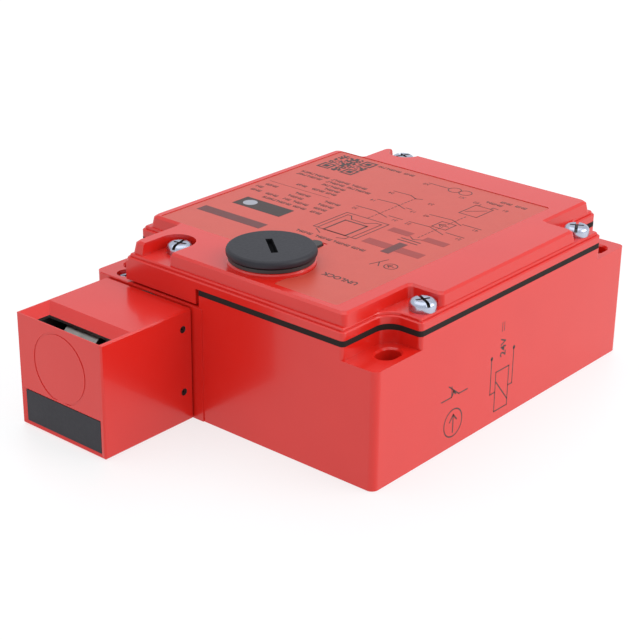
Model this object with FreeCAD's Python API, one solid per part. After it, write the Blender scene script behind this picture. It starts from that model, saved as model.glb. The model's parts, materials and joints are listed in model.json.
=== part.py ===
import FreeCAD, Part
import math
import os
from FreeCAD import Vector

# Tongue interlock switch with solenoid guard locking, millimetres.
# X runs along the switch with the tongue head at the -X end, Y across it, Z up from the mounting face.
# "front" is -X, "back" is +X, "near" is -Y and "far" is +Y.  The origin is the centre of the footprint.

# --- body casting ---
body_length = 113.8
body_width = 98.0
rim_height = 36.0
pad_step = 3.5
body_corner_radius = 2.0
body_wall = 3.4
body_floor = 3.0
front_notch_length = 17.3
back_notch_length = 13.9
near_notch_depth = 10.4
far_notch_depth = 12.2
notch_radius = 4.5
outline_corner_radius = 1.2
head_wall = 6.2
head_wall_margin = 3.4
seat_rise = 0.3

# --- fixings of the body ---
fixing_spacing_x = 95.0
fixing_spacing_y = 88.0
fixing_from_front = 10.8
fixing_width = 5.3
fixing_length = 7.3
fixing_edge_break = 0.5

# --- cable entries, Pg 13.5 core size ---
entry_radius = 9.53
entry_spacing = 44.0
entry_height = 17.5
entry_boss_radius = 12.4
entry_thread_length = 8.0

# --- cover and gasket ---
gasket_thickness = 1.6
gasket_width = 3.4
cover_flange = 2.2
cover_step_height = 0.8
cover_step_inset = 0.7
cover_edge = 0.3
cover_height = 6.4
cover_roof = 2.3
cover_wall = 3.0
plateau_draft_width = 0.7
plateau_edge = 0.6
plateau_corner_radius = 1.4
plateau_front_inset = 2.2
plateau_near_inset = 1.8
plateau_back_inset = 2.6
plateau_far_inset = 2.8
near_step_from_front = 27.8
near_step_from_back = 25.6
near_step_depth = 11.8
far_step_from_front = 19.2
far_step_from_back = 14.7
far_step_depth_front = 13.5
far_step_depth_back = 13.2
lip_thickness = 2.2
lip_above_pad = 0.8
lip_near_reach = 1.1
lip_side_gap = 1.1
lip_back_gap = 0.5
lip_bottom_gap = 0.6

# --- cover screws ---
cover_screw_head_radius = 3.5
cover_screw_head_height = 2.7
cover_screw_shank_radius = 1.95
cover_screw_core_radius = 1.95
cover_screw_length = 12.0
cover_screw_boss_radius = 4.1
cover_screw_tip_gap = 0.6
cover_boss_floor = 2.2
screw_pocket_radius = 5.2
screw_pocket_gap = 0.6
near_screw_inset = 4.3
near_front_screw_from_front = 23.4
near_back_screw_from_back = 20.2
far_front_screw_from_front = 10.4
far_front_screw_from_far = 22.2
far_back_screw_from_back = 3.8
far_back_screw_from_far = 20.2

# --- label ---
label_thickness = 0.15
label_recess = 0.3
label_gap = 0.1
label_corner_radius = 1.0
label_margin_front = 4.8
label_margin_near = 16.5
label_margin_back = 15.4
label_margin_far = 5.2
label_cut_from_front = 20.0
label_cut_from_near = 37.2

# --- auxiliary release: cap, spindle ---
cap_from_front = 15.4
cap_from_near = 47.3
cap_radius = 11.9
cap_disc_thickness = 2.0
cap_edge = 0.6
cap_stem_radius = 8.0
cap_stem_length = 6.0
cap_stem_hollow_radius = 6.0
cap_roof = 1.8
cap_slot_length = 9.8
cap_slot_width = 1.4
cap_slot_depth = 1.3
cap_slot_angle = 51.0
cap_boss_radius = 11.6
cap_boss_rise = 1.1
cap_boss_edge = 0.6
cap_bore_depth = 6.2
seal_outer_radius = 11.4
seal_thickness = 1.0
seal_gap = 0.3
strap_reach = 19.2
strap_width = 4.0
strap_slot_clearance = 0.3
strap_slot_depth = 1.0
strap_peg_radius = 1.2
spindle_radius = 3.0
spindle_head_radius = 4.4
spindle_head_height = 3.0
spindle_shoulder_radius = 4.0
spindle_foot_radius = 2.5
spindle_foot_length = 6.0
spindle_boss_radius = 5.0
spindle_boss_height = 8.0
spindle_hanger_length = 3.6
spindle_hanger_radius = 6.0
finger_length = 15.3
finger_width = 4.0
finger_rest_angle = -120.0
circlip_thickness = 0.8
circlip_rim = 1.8

# --- tongue head ---
head_behind_cam = 16.7
head_below_rim = 4.0
head_far_gap = 5.0
head_axis_above_middle = 2.0
head_edge = 0.4
head_side_wall = 3.2
head_front_wall = 1.8
head_roof = 2.3
head_floor = 2.2
head_back_wall = 5.2
head_gasket_thickness = 0.5
head_gasket_inset = 0.5
slot_width = 24.0
slot_side_margin = 0.8
slot_thickness = 5.9
slot_mouth_back = 3.0
slot_mouth_side = 3.2
slot_mouth_front = 0.25
front_slot_bottom = 3.2
plug_side_reach = 2.9
plug_height = 10.2
plug_bottom = 0.6
plug_gap = 0.1
plug_sink = 0.3
plug_insert_depth = 4.2
plug_side_wall = 1.5
plug_wall = 1.0
plug_overlap = 0.5
ring_mark_radius = 9.6
ring_mark_height = 20.6
ring_mark_width = 0.5
ring_mark_depth = 0.15
guard_thickness = 0.8
guard_drop = 12.0
guard_back_margin = 1.2
base_plate_thickness = 1.6
base_plate_margin = 1.4
base_plate_sink = 0.2

# --- spigot that carries the head ---
spigot_flange_bottom = 3.9
spigot_flange_width = 4.3
spigot_bore_radius = 5.0
spigot_flange_thickness = 2.6
spigot_reach = 5.4
spigot_clearance = 0.1
pin_radius = 1.0
pin_wall = 0.7
pin_bite = 0.8
pin_from_head_back = 3.0
pin_end_gap = 0.3
spigot_screw_head_radius = 1.9
spigot_screw_head_height = 1.2
spigot_screw_shank_radius = 1.0
spigot_screw_length = 5.0
screw_slot_width = 0.5
screw_slot_depth = 0.8
screw_tip_gap = 0.3
lock_screw_from_front = 4.1
lock_screw_from_head_axis = 13.2
lock_screw_head_radius = 2.3
lock_screw_head_height = 1.6
lock_screw_counterbore_radius = 2.6
lock_screw_sink = 0.7
lock_screw_shank_radius = 1.25
lock_screw_length = 12.0

# --- cam in the head ---
cam_horn_front_gap = 0.5
cam_lobe_radius = 10.2
cam_stroke = 4.5
cam_swing = 60.0
cam_step = 20
cam_dwell = 30.0
cam_floor_drop = 0.1
cam_front_start = 25.0
cam_front_blend = 60.0
cam_back_blend = 50.0
cam_front_radius = 8.3
cam_horn_roof_gap = 3.6
cam_thickness = 12.0
cam_hub_radius = 4.2
cam_gullet_radius = 2.2
cam_horn_width = 4.6
cam_gullet_angle = 150.0
cam_side_gap = 0.4
axle_radius = 2.4
axle_seat_depth = 2.4
running_clearance = 0.05

# --- plunger ---
plunger_radius = 3.0
plunger_cam_gap = 0.6
plunger_tip_radius = 0.5
plunger_collar_radius = 5.0
plunger_collar_length = 3.5
plunger_collar_from_front = 11.8
plunger_block_gap = 0.4
bush_length = 10.0
spring_wire_radius = 0.4
spring_wire_sides = 6
spring_steps = 14
plunger_spring_turns = 7
slider_spring_turns = 4
armature_spring_turns = 6

# --- screw heads, as shares of each head ---
screw_edge_share = 0.35
screw_recess_share = 0.6
screw_arm_share = 0.62
screw_slot_share = 0.2

# --- contact block ---
block_from_front = 30.8
block_length = 42.0
block_wall_gap = 0.6
block_height = 17.0
block_side_wall = 6.0
block_end_wall = 3.0
block_base_thickness = 9.0
pole_pitch = 10.0
pole_count = 3
first_pole_inset = 11.5
slider_width = 6.0
slider_height = 6.0
slider_front_reach = 2.0
slider_spring_length = 5.0
slider_clearance = 0.08
bridge_end_gap = 0.8
bridge_thickness = 2.0
bridge_height = 3.0
rivet_radius = 1.5
rivet_height = 0.8
rivet_inset = 1.9
contact_gap = 0.35
strip_thickness = 1.2
strip_width = 7.0
strip_edge_gap = 0.2
clamp_edge_gap = 0.3
terminal_screw_head_radius = 2.7
terminal_screw_head_height = 2.2
terminal_screw_shank_radius = 1.7
terminal_screw_length = 8.0
clamp_size = 6.0
clamp_thickness = 1.2
ear_length = 8.0
ear_width = 8.0
ear_thickness = 3.0
floor_boss_height = 4.0
floor_boss_radius = 3.6
floor_screw_head_radius = 2.6
floor_screw_head_height = 1.9
floor_screw_shank_radius = 1.45
floor_screw_depth = 3.4

# --- solenoid ---
solenoid_from_front = 48.8
solenoid_back_gap = 1.7
channel_allowance = 39.2
solenoid_height = 26.0
solenoid_wall_gap = 0.5
solenoid_lift = 1.0
yoke_plate = 2.5
bobbin_wall = 0.9
bobbin_flange = 1.2
bobbin_flange_reach = 0.4
winding_radius = 10.0
armature_radius = 5.0
armature_stroke = 5.0
armature_back_gap = 0.6
armature_collar_radius = 7.0
armature_collar_length = 1.5
armature_collar_from_tip = 8.5
armature_pin_radius = 1.5
armature_pin_from_tip = 4.0
fork_clearance = 0.35
fork_web = 0.5
fork_slot_gap = 0.4

# --- locking lever ---
pivot_from_front = 32.8
pivot_from_solenoid = 8.7
pivot_radius = 2.5
pivot_head_radius = 3.6
pivot_head_thickness = 1.0
pivot_boss_radius = 4.5
lever_hub_radius = 5.0
lever_thickness = 3.0
lever_arm_width = 6.0
lever_nose_width = 3.0
lever_nose_length = 5.7
lever_float = 0.3

# --- coil terminals and earth terminal ---
coil_block_from_back = 33.0
coil_block_length = 18.0
coil_block_side_gap = 3.85
coil_block_height = 12.0
coil_screw_share = 0.15
coil_screw_sink = 1.0
coil_screw_length = 5.0
coil_wire_gap = 0.1
earth_from_back = 23.0
earth_y = 24.0

# --- derived places ---
inner_width = body_width - 2 * body_wall
solenoid_length = body_length - solenoid_from_front - back_notch_length - body_wall - solenoid_back_gap
armature_length = solenoid_length
pad_height = rim_height - pad_step
head_height = rim_height - head_below_rim
head_axis_height = head_height / 2 + head_axis_above_middle
head_width = slot_width + 2 * (slot_side_margin + head_side_wall)
lip_bottom = pad_height + lip_above_pad
plug_width = slot_width + 2 * plug_side_reach
spigot_flange_radius = head_axis_height - spigot_flange_bottom
spigot_radius = spigot_flange_radius - spigot_flange_width
spigot_screw_circle = (spigot_radius + spigot_flange_radius) / 2
pin_offset = spigot_radius - pin_bite
cam_horn_radius = head_height / 2 - cam_horn_roof_gap
cam_from_head_front = head_front_wall + guard_thickness + cam_horn_front_gap + cam_horn_radius
head_length = cam_from_head_front + head_behind_cam
solenoid_width = (inner_width - channel_allowance) / 2
overall_length = head_length + body_length
head_front = -overall_length / 2
body_front = head_front + head_length
body_back = overall_length / 2
near = -body_width / 2
far = body_width / 2
head_back = body_front - seat_rise - head_gasket_thickness
head_y = far - head_far_gap - head_width / 2
head_near = head_y - head_width / 2
block_width = 2 * (far - body_wall - block_wall_gap - head_y)
head_far = head_y + head_width / 2
cover_bottom = rim_height + gasket_thickness
flange_top = cover_bottom + cover_flange
step_top = flange_top + cover_step_height
cover_top = cover_bottom + cover_height
pocket_floor = step_top
ledge_height = lip_bottom - lip_bottom_gap
lip_near = head_near - lip_near_reach
far_notch_wall = far - far_notch_depth
gasket_step_front = body_front + lip_thickness + lip_back_gap
cap_x = body_front + cap_from_front
cap_y = near + cap_from_near
boss_top = cover_top + cap_boss_rise
seal_bottom = boss_top
seal_top = seal_bottom + seal_thickness
cap_bottom = seal_top + seal_gap
cap_top = cap_bottom + cap_disc_thickness
cap_stem_bottom = cap_bottom - cap_stem_length
cap_bore_floor = boss_top - cap_bore_depth
cam_x = head_front + cam_from_head_front
cam_z = head_axis_height
cavity_front = head_front + head_front_wall
cavity_back = head_back - head_back_wall
cavity_near = head_near + head_side_wall
cavity_far = head_far - head_side_wall
cavity_roof = head_height - head_roof
slot_back = cavity_front + slot_thickness
pin_x = head_back - pin_from_head_back
spigot_front = head_back - spigot_reach
wall_inner = body_front + head_wall
plunger_tip = cam_x + cam_lobe_radius + plunger_cam_gap
block_front = body_front + block_from_front
block_back = block_front + block_length
block_top = body_floor + block_height
bridge_length = block_width - 2 * (block_side_wall + bridge_end_gap)
pocket_bottom = body_floor + block_base_thickness
slider_z = head_axis_height
slider_tip = block_front - slider_front_reach
slider_end = block_back - block_end_wall - slider_spring_length
plunger_end = slider_tip - plunger_block_gap
collar_front = body_front + plunger_collar_from_front
collar_back = collar_front + plunger_collar_length
solenoid_front = body_front + solenoid_from_front
solenoid_back = solenoid_front + solenoid_length
solenoid_near = near + near_notch_depth + body_wall + solenoid_wall_gap
solenoid_y = solenoid_near + solenoid_width / 2
solenoid_bottom = body_floor + solenoid_lift
solenoid_z = solenoid_bottom + solenoid_height / 2
bobbin_bore = armature_radius + running_clearance
pivot_x = body_front + pivot_from_front
pivot_y = solenoid_near + solenoid_width + pivot_from_solenoid
armature_tip = pivot_x - armature_pin_from_tip
armature_end = armature_tip + armature_length
lever_bottom = solenoid_z - lever_thickness / 2
lever_top = solenoid_z + lever_thickness / 2
lever_reach = pivot_y - solenoid_y
nose_x = (collar_front + collar_back) / 2
nose_tip_y = head_y - plunger_collar_radius - lever_float
label_top = cover_top - label_recess + label_thickness
channel_near = solenoid_near + solenoid_width
channel_far = head_y - block_width / 2
coil_block_y = (channel_near + channel_far) / 2
coil_block_width = channel_far - channel_near - 2 * coil_block_side_gap
coil_screw_radius = coil_screw_share * coil_block_width
coil_wire_radius = coil_screw_radius - coil_wire_gap


# --- basic solids ---
def block(x0, x1, y0, y1, z0, z1):
    return Part.makeBox(x1 - x0, y1 - y0, z1 - z0, Vector(x0, y0, z0))


def upright(x, y, radius, z0, z1):
    return Part.makeCylinder(radius, z1 - z0, Vector(x, y, z0), Vector(0, 0, 1))


def along_x(y, z, radius, x0, x1):
    return Part.makeCylinder(radius, x1 - x0, Vector(x0, y, z), Vector(1, 0, 0))


def along_y(x, z, radius, y0, y1):
    return Part.makeCylinder(radius, y1 - y0, Vector(x, y0, z), Vector(0, 1, 0))


def corner_turn(here, before, after, radius):
    to_before = (before - here).normalize()
    to_after = (after - here).normalize()
    half_angle = to_before.getAngle(to_after) / 2
    bisector = (to_before + to_after).normalize()
    setback = radius / math.tan(half_angle)
    middle = here + bisector * (radius / math.sin(half_angle) - radius)
    return here + to_before * setback, middle, here + to_after * setback


def rounded_wire(corners, height):
    points = [Vector(x, y, height) for x, y, radius in corners]
    turns = []
    for index, point in enumerate(points):
        after = points[(index + 1) % len(points)]
        turns.append(corner_turn(point, points[index - 1], after, corners[index][2]))
    edges = []
    for index, turn in enumerate(turns):
        edges.append(Part.Arc(*turn).toShape())
        edges.append(Part.makeLine(turn[2], turns[(index + 1) % len(turns)][0]))
    return Part.Wire(edges)


def rounded_prism(corners, z0, z1):
    return Part.Face(rounded_wire(corners, z0)).extrude(Vector(0, 0, z1 - z0))


def rounded_block(x0, x1, y0, y1, z0, z1, radius):
    corners = [(x0, y0, radius), (x1, y0, radius), (x1, y1, radius), (x0, y1, radius)]
    return rounded_prism(corners, z0, z1)


def obround_wire(x, y, length, width, height):
    radius = width / 2
    reach = length / 2 - radius
    right = Part.Arc(Vector(x + reach, y - radius, height), Vector(x + reach + radius, y, height),
                     Vector(x + reach, y + radius, height))
    left = Part.Arc(Vector(x - reach, y + radius, height), Vector(x - reach - radius, y, height),
                    Vector(x - reach, y - radius, height))
    far_side = Part.makeLine(Vector(x + reach, y + radius, height), Vector(x - reach, y + radius, height))
    near_side = Part.makeLine(Vector(x - reach, y - radius, height), Vector(x + reach, y - radius, height))
    return Part.Wire([right.toShape(), far_side, left.toShape(), near_side])


def obround_prism(x, y, length, width, z0, z1):
    return Part.Face(obround_wire(x, y, length, width, z0)).extrude(Vector(0, 0, z1 - z0))


def fused(shapes):
    result = shapes[0]
    for shape in shapes[1:]:
        result = result.fuse(shape)
    return result.removeSplitter()


def without(shape, cutters):
    for cutter in cutters:
        shape = shape.cut(cutter)
    return shape


def bar(start, end, width, z0, z1):
    direction = Vector(end[0] - start[0], end[1] - start[1], 0)
    turn = math.degrees(math.atan2(direction.y, direction.x))
    straight = Part.makeBox(direction.Length, width, z1 - z0, Vector(0, -width / 2, 0))
    straight.rotate(Vector(0, 0, 0), Vector(0, 0, 1), turn)
    straight.translate(Vector(start[0], start[1], z0))
    return fused([straight, upright(start[0], start[1], width / 2, z0, z1), upright(end[0], end[1], width / 2, z0, z1)])


def top_edges(shape, height):
    return [edge for edge in shape.Edges if all(abs(v.Z - height) < 0.001 for v in edge.Vertexes)]


def coil_spring(start, direction, length, coil_radius, turns):
    points = []
    for step in range(turns * spring_steps + 1):
        turn = 2 * math.pi * step / spring_steps
        rise = length * step / (turns * spring_steps)
        points.append(Vector(coil_radius * math.cos(turn), coil_radius * math.sin(turn), rise))
    corners = []
    for step in range(spring_wire_sides + 1):
        turn = 2 * math.pi * step / spring_wire_sides
        reach = spring_wire_radius * math.cos(turn)
        corners.append(Vector(coil_radius + reach, 0, spring_wire_radius * math.sin(turn)))
    spring = Part.makePolygon(points).makePipeShell([Part.makePolygon(corners)], True, False, 1)
    spring.Placement = FreeCAD.Placement(start, FreeCAD.Rotation(Vector(0, 0, 1), direction))
    return spring


# --- outlines shared by the body, gasket and cover ---
def notched_corners(inset):
    front = body_front + inset
    back = body_back - inset
    low = near + inset
    high = far - inset
    front_notch = body_front + front_notch_length + inset
    back_notch = body_back - back_notch_length - inset
    near_notch = near + near_notch_depth + inset
    far_notch = far - far_notch_depth - inset
    outer = max(outline_corner_radius - inset, outline_corner_radius / 2)
    inner = notch_radius + inset
    return [
        (front_notch, low, outer), (back_notch, low, outer), (back_notch, near_notch, inner),
        (back, near_notch, outer), (back, far_notch, outer), (back_notch, far_notch, inner),
        (back_notch, high, outer), (front_notch, high, outer), (front_notch, far_notch, inner),
        (front, far_notch, outer), (front, near_notch, outer), (front_notch, near_notch, inner)]


def notched_prism(inset, z0, z1):
    return rounded_prism(notched_corners(inset), z0, z1)


def plateau_corners(spread):
    front = body_front + plateau_front_inset - spread
    back = body_back - plateau_back_inset + spread
    low = near + plateau_near_inset - spread
    high = far - plateau_far_inset + spread
    near_front = body_front + near_step_from_front - spread
    near_back = body_back - near_step_from_back + spread
    near_wall = near + near_step_depth - spread
    far_front = body_front + far_step_from_front - spread
    far_back = body_back - far_step_from_back + spread
    far_front_wall = far - far_step_depth_front + spread
    far_back_wall = far - far_step_depth_back + spread
    radius = plateau_corner_radius
    return [
        (near_front, low, radius), (near_back, low, radius), (near_back, near_wall, radius),
        (back, near_wall, radius), (back, far_back_wall, radius), (far_back, far_back_wall, radius),
        (far_back, high, radius), (far_front, high, radius), (far_front, far_front_wall, radius),
        (front, far_front_wall, radius), (front, near_wall, radius), (near_front, near_wall, radius)]


def cover_screw_points():
    return [
        (body_front + near_front_screw_from_front, near + near_screw_inset),
        (body_back - near_back_screw_from_back, near + near_screw_inset),
        (body_front + far_front_screw_from_front, far - far_front_screw_from_far),
        (body_back - far_back_screw_from_back, far - far_back_screw_from_far)]


def fixing_points():
    first_x = body_front + fixing_from_front
    half_y = fixing_spacing_y / 2
    return [(first_x + step * fixing_spacing_x, side * half_y) for step in (0, 1) for side in (-1, 1)]


def lock_screw_point():
    return body_front + lock_screw_from_front, head_y + lock_screw_from_head_axis


def block_ear_points():
    half = block_width / 2 - ear_width
    back = block_back + ear_length / 2
    front = block_front - ear_length / 2
    return [(back, head_y - half), (back, head_y + half), (front, head_y + half)]


def solenoid_foot_points():
    half = solenoid_width / 2 - floor_boss_radius
    front = solenoid_front - floor_boss_radius
    back = solenoid_back + floor_boss_radius
    return [(front, solenoid_y - half), (back, solenoid_y - half), (back, solenoid_y + half)]


def pole_places():
    return [block_front + first_pole_inset + index * pole_pitch for index in range(pole_count)]


# --- static casting and cover ---
def boss_to_wall(x, y, z0, z1):
    post = upright(x, y, cover_screw_boss_radius, z0, z1)
    reach = cover_screw_boss_radius
    if y < near + body_wall + reach:
        return post.fuse(block(x - reach, x + reach, near + body_corner_radius, y, z0, z1))
    edge = body_front + body_corner_radius if x < 0 else body_back - body_corner_radius
    return post.fuse(block(min(x, edge), max(x, edge), y - reach, y + reach, z0, z1))


def body_outer():
    lower = rounded_block(body_front, body_back, near, far, 0, pad_height, body_corner_radius)
    upper = notched_prism(0, pad_height, rim_height)
    return fused([lower, upper])


def body_envelope():
    return block(body_front - seat_rise, body_back, near, far, 0, rim_height)


def head_seat():
    low = head_near - head_wall_margin
    high = far - body_corner_radius
    return block(body_front - seat_rise, body_front + seat_rise, low, high, 0, ledge_height - seat_rise)


def ledge_cut():
    low = lip_near - lip_side_gap
    return block(body_front - 1, gasket_step_front, low, far_notch_wall + lip_back_gap, ledge_height, rim_height + 1)


def fixing_cut(x, y):
    cut = obround_prism(x, y, fixing_length, fixing_width, -1, pad_height + 1)
    spread = 2 * fixing_edge_break
    low = obround_wire(x, y, fixing_length, fixing_width, pad_height - fixing_edge_break)
    high = obround_wire(x, y, fixing_length + 2 * spread, fixing_width + 2 * spread, pad_height + fixing_edge_break)
    return cut.fuse(Part.makeLoft([low, high], True, True))


def make_housing():
    cavity = notched_prism(body_wall, body_floor, rim_height + 1)
    casting = body_outer().cut(cavity)
    wall = block(body_front + 1, wall_inner, head_near - head_wall_margin, far_notch_wall, 1, rim_height)
    added = [wall, head_seat()]
    for side in (-1, 1):
        y = side * entry_spacing / 2
        added.append(along_x(y, entry_height, entry_boss_radius, body_back - entry_thread_length, body_back - 1))
    hole_bottom = pocket_floor - cover_screw_length - cover_screw_tip_gap
    for x, y in cover_screw_points():
        low = 1 if y < 0 else hole_bottom - cover_boss_floor
        added.append(boss_to_wall(x, y, low, rim_height))
    for x, y in block_ear_points() + solenoid_foot_points() + [(body_back - earth_from_back, earth_y)]:
        added.append(upright(x, y, floor_boss_radius, 1, body_floor + floor_boss_height))
    added.append(upright(pivot_x, pivot_y, pivot_boss_radius, 1, lever_bottom - lever_float))
    added.append(upright(cap_x, cap_y, spindle_boss_radius, 1, body_floor + spindle_boss_height))
    casting = fused([casting] + [piece.common(body_envelope()) for piece in added])
    cuts = [ledge_cut()]
    cuts += [fixing_cut(x, y) for x, y in fixing_points()]
    for side in (-1, 1):
        y = side * entry_spacing / 2
        cuts.append(along_x(y, entry_height, entry_radius, body_back - entry_thread_length - 1, body_back + 1))
    for x, y in cover_screw_points():
        cuts.append(upright(x, y, cover_screw_core_radius, hole_bottom, rim_height + 1))
    screw_bottom = body_floor + floor_boss_height - floor_screw_depth
    for x, y in block_ear_points() + solenoid_foot_points() + [(body_back - earth_from_back, earth_y)]:
        cuts.append(upright(x, y, floor_screw_shank_radius, screw_bottom, rim_height))
    cuts.append(upright(pivot_x, pivot_y, pivot_radius, body_floor, rim_height))
    foot_bottom = body_floor + spindle_boss_height - spindle_foot_length
    cuts.append(upright(cap_x, cap_y, spindle_foot_radius + running_clearance, foot_bottom, rim_height))
    cuts.append(along_x(head_y, head_axis_height, spigot_flange_radius,
                        body_front - 1, body_front - seat_rise + spigot_flange_thickness))
    cuts.append(along_x(head_y, head_axis_height, spigot_radius, body_front - 1, wall_inner + 1))
    for y, z in spigot_screw_points():
        cuts.append(along_x(y, z, spigot_screw_shank_radius, body_front - 1, body_front + spigot_screw_length))
    lock_x, lock_y = lock_screw_point()
    head_seat_z = pad_height - lock_screw_sink - lock_screw_head_height
    cuts.append(upright(lock_x, lock_y, lock_screw_counterbore_radius, head_seat_z, pad_height + 1))
    cuts.append(upright(lock_x, lock_y, lock_screw_shank_radius, head_seat_z - lock_screw_length, pad_height))
    return without(casting, cuts)


def make_cover_gasket():
    ring = notched_prism(0, rim_height, cover_bottom).cut(notched_prism(gasket_width, rim_height - 1, cover_bottom + 1))
    low = lip_near - lip_side_gap
    inner = wall_inner
    ring = ring.cut(block(body_front - 1, gasket_step_front, low, far_notch_wall + 1, rim_height - 1, cover_bottom + 1))
    strip = block(gasket_step_front, inner, low - gasket_width, far_notch_wall - gasket_width / 2,
                  rim_height, cover_bottom)
    pads = [ring, strip]
    for x, y in cover_screw_points():
        pads.append(boss_to_wall(x, y, rim_height, cover_bottom))
    whole = fused(pads).common(notched_prism(0, rim_height, cover_bottom))
    whole = whole.cut(block(body_front - 1, gasket_step_front, low, far_notch_wall + 1, rim_height - 1, cover_bottom + 1))
    holes = [upright(x, y, cover_screw_shank_radius, rim_height - 1, cover_bottom + 1) for x, y in cover_screw_points()]
    return without(whole, holes)


def make_plateau():
    shoulder = cover_top - plateau_edge
    lean = plateau_draft_width * plateau_edge / (cover_top - flange_top)
    low = rounded_wire(plateau_corners(plateau_draft_width), flange_top)
    middle = rounded_wire(plateau_corners(lean), shoulder)
    high = rounded_wire(plateau_corners(-plateau_edge), cover_top)
    sides = Part.makeLoft([low, middle], True, True)
    return sides.fuse(Part.makeLoft([middle, high], True, True))


def screw_pocket(x, y):
    outward = -1 if x < 0 else 1
    edge = body_front - 1 if x < 0 else body_back + 1
    end = x + outward * (screw_pocket_radius - cover_screw_head_radius - screw_pocket_gap)
    top = cover_top + 1
    opening = block(min(end, edge), max(end, edge), y - screw_pocket_radius, y + screw_pocket_radius, pocket_floor, top)
    return opening.fuse(upright(end, y, screw_pocket_radius, pocket_floor, top))


def label_corners(margin):
    front = body_front + label_margin_front - margin
    low = near + label_margin_near - margin
    back = body_back - label_margin_back + margin
    high = far - label_margin_far + margin
    cut_x = body_front + label_cut_from_front - margin
    cut_y = near + label_cut_from_near + margin
    radius = label_corner_radius
    return [(front, low, radius), (back, low, radius), (back, high, radius), (cut_x, high, radius),
            (cut_x, cut_y, radius), (front, cut_y, radius)]


def strap_slot():
    half = strap_width / 2 + strap_slot_clearance
    bottom = cover_top - strap_slot_depth
    reach = cap_x + strap_reach - strap_width / 2
    slot = block(cap_x, reach, cap_y - half, cap_y + half, bottom, cover_top + 1)
    return slot.fuse(upright(reach, cap_y, half, bottom, cover_top + 1))


def cap_boss():
    boss = upright(cap_x, cap_y, cap_boss_radius, cover_bottom, boss_top)
    return boss.makeChamfer(cap_boss_edge, top_edges(boss, boss_top))


def cover_hollow():
    corners = plateau_corners(-cover_wall)
    hollow = rounded_prism(corners, cover_bottom - 1, cover_top - cover_roof)
    keep = [upright(cap_x, cap_y, cap_boss_radius, cover_bottom - 1, cover_top)]
    for x, y in cover_screw_points():
        keep.append(upright(x, y, screw_pocket_radius + cover_roof, cover_bottom - 1, cover_top))
        if y > 0:
            edge = body_front if x < 0 else body_back
            half = screw_pocket_radius + cover_roof
            keep.append(block(min(x, edge), max(x, edge), y - half, y + half, cover_bottom - 1, cover_top))
    return without(hollow, keep)


def make_cover():
    flange = notched_prism(0, cover_bottom, flange_top)
    flange = flange.makeChamfer(cover_edge, top_edges(flange, flange_top))
    step = notched_prism(cover_step_inset, cover_bottom + 1, step_top)
    step = step.makeChamfer(cover_edge, top_edges(step, step_top))
    lip = block(body_front, body_front + lip_thickness, lip_near, far_notch_wall, lip_bottom, cover_bottom + 1)
    hanger = upright(cap_x, cap_y, spindle_hanger_radius, cover_bottom - spindle_hanger_length, cover_bottom + 1)
    plateau = make_plateau()
    plateau = without(plateau, [screw_pocket(x, y) for x, y in cover_screw_points() if y > 0])
    shell = fused([flange, step, lip, plateau])
    shell = fused([shell.cut(cover_hollow()), cap_boss(), hanger])
    cuts = [rounded_prism(label_corners(label_gap), cover_top - label_recess, cover_top + 1)]
    cuts[0] = cuts[0].cut(upright(cap_x, cap_y, cap_boss_radius, cover_top - 1, cover_top + 2))
    slot = strap_slot().cut(upright(cap_x, cap_y, cap_boss_radius, cover_bottom, boss_top + 1))
    cuts.append(slot)
    peg_x = cap_x + strap_reach - strap_width / 2
    cuts.append(upright(peg_x, cap_y, strap_peg_radius, cover_bottom - 1, cover_top))
    cuts.append(upright(cap_x, cap_y, cap_stem_radius + running_clearance, cap_bore_floor, boss_top + 1))
    cuts.append(upright(cap_x, cap_y, spindle_radius + running_clearance, rim_height - cover_height, boss_top))
    for x, y in cover_screw_points():
        cuts.append(upright(x, y, cover_screw_shank_radius, cover_bottom - 1, cover_top))
    return without(shell, cuts)


def pan_screw(x, y, seat, head_radius, head_height, shank_radius, length):
    head = upright(x, y, head_radius, seat, seat + head_height)
    head = head.makeChamfer(head_height * screw_edge_share, top_edges(head, seat + head_height))
    screw = head.fuse(upright(x, y, shank_radius, seat - length, seat + 1))
    recess_depth = head_height * screw_recess_share
    arm = head_radius * screw_arm_share
    slot = head_radius * screw_slot_share
    for half_x, half_y in ((arm, slot / 2), (slot / 2, arm)):
        top = seat + head_height
        screw = screw.cut(block(x - half_x, x + half_x, y - half_y, y + half_y, top - recess_depth, top + 1))
    return screw


def make_cover_screws():
    return Part.makeCompound([
        pan_screw(x, y, pocket_floor, cover_screw_head_radius, cover_screw_head_height,
                  cover_screw_shank_radius, cover_screw_length) for x, y in cover_screw_points()])


def make_label():
    sheet = rounded_prism(label_corners(0), cover_top - label_recess, label_top)
    sheet = sheet.cut(upright(cap_x, cap_y, cap_boss_radius + label_gap, cover_bottom, cover_top + 1))
    half = strap_width / 2 + strap_slot_clearance + label_gap
    reach = cap_x + strap_reach + strap_slot_clearance + label_gap
    return sheet.cut(block(cap_x, reach, cap_y - half, cap_y + half, cover_bottom, cover_top + 1))


# --- auxiliary release ---
def make_unlock_cap():
    disc = upright(cap_x, cap_y, cap_radius, cap_bottom, cap_top)
    disc = disc.makeChamfer(cap_edge, top_edges(disc, cap_top))
    stem = upright(cap_x, cap_y, cap_stem_radius, cap_stem_bottom, cap_bottom + 1)
    hollow = upright(cap_x, cap_y, cap_stem_hollow_radius, cap_stem_bottom - 1, cap_top - cap_roof)
    slot = Part.makeBox(cap_slot_length, cap_slot_width, cap_slot_depth + 1)
    slot.translate(Vector(-cap_slot_length / 2, -cap_slot_width / 2, cap_top - cap_slot_depth))
    slot.rotate(Vector(0, 0, 0), Vector(0, 0, 1), cap_slot_angle)
    slot.translate(Vector(cap_x, cap_y, 0))
    return without(disc.fuse(stem), [hollow, slot])


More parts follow.
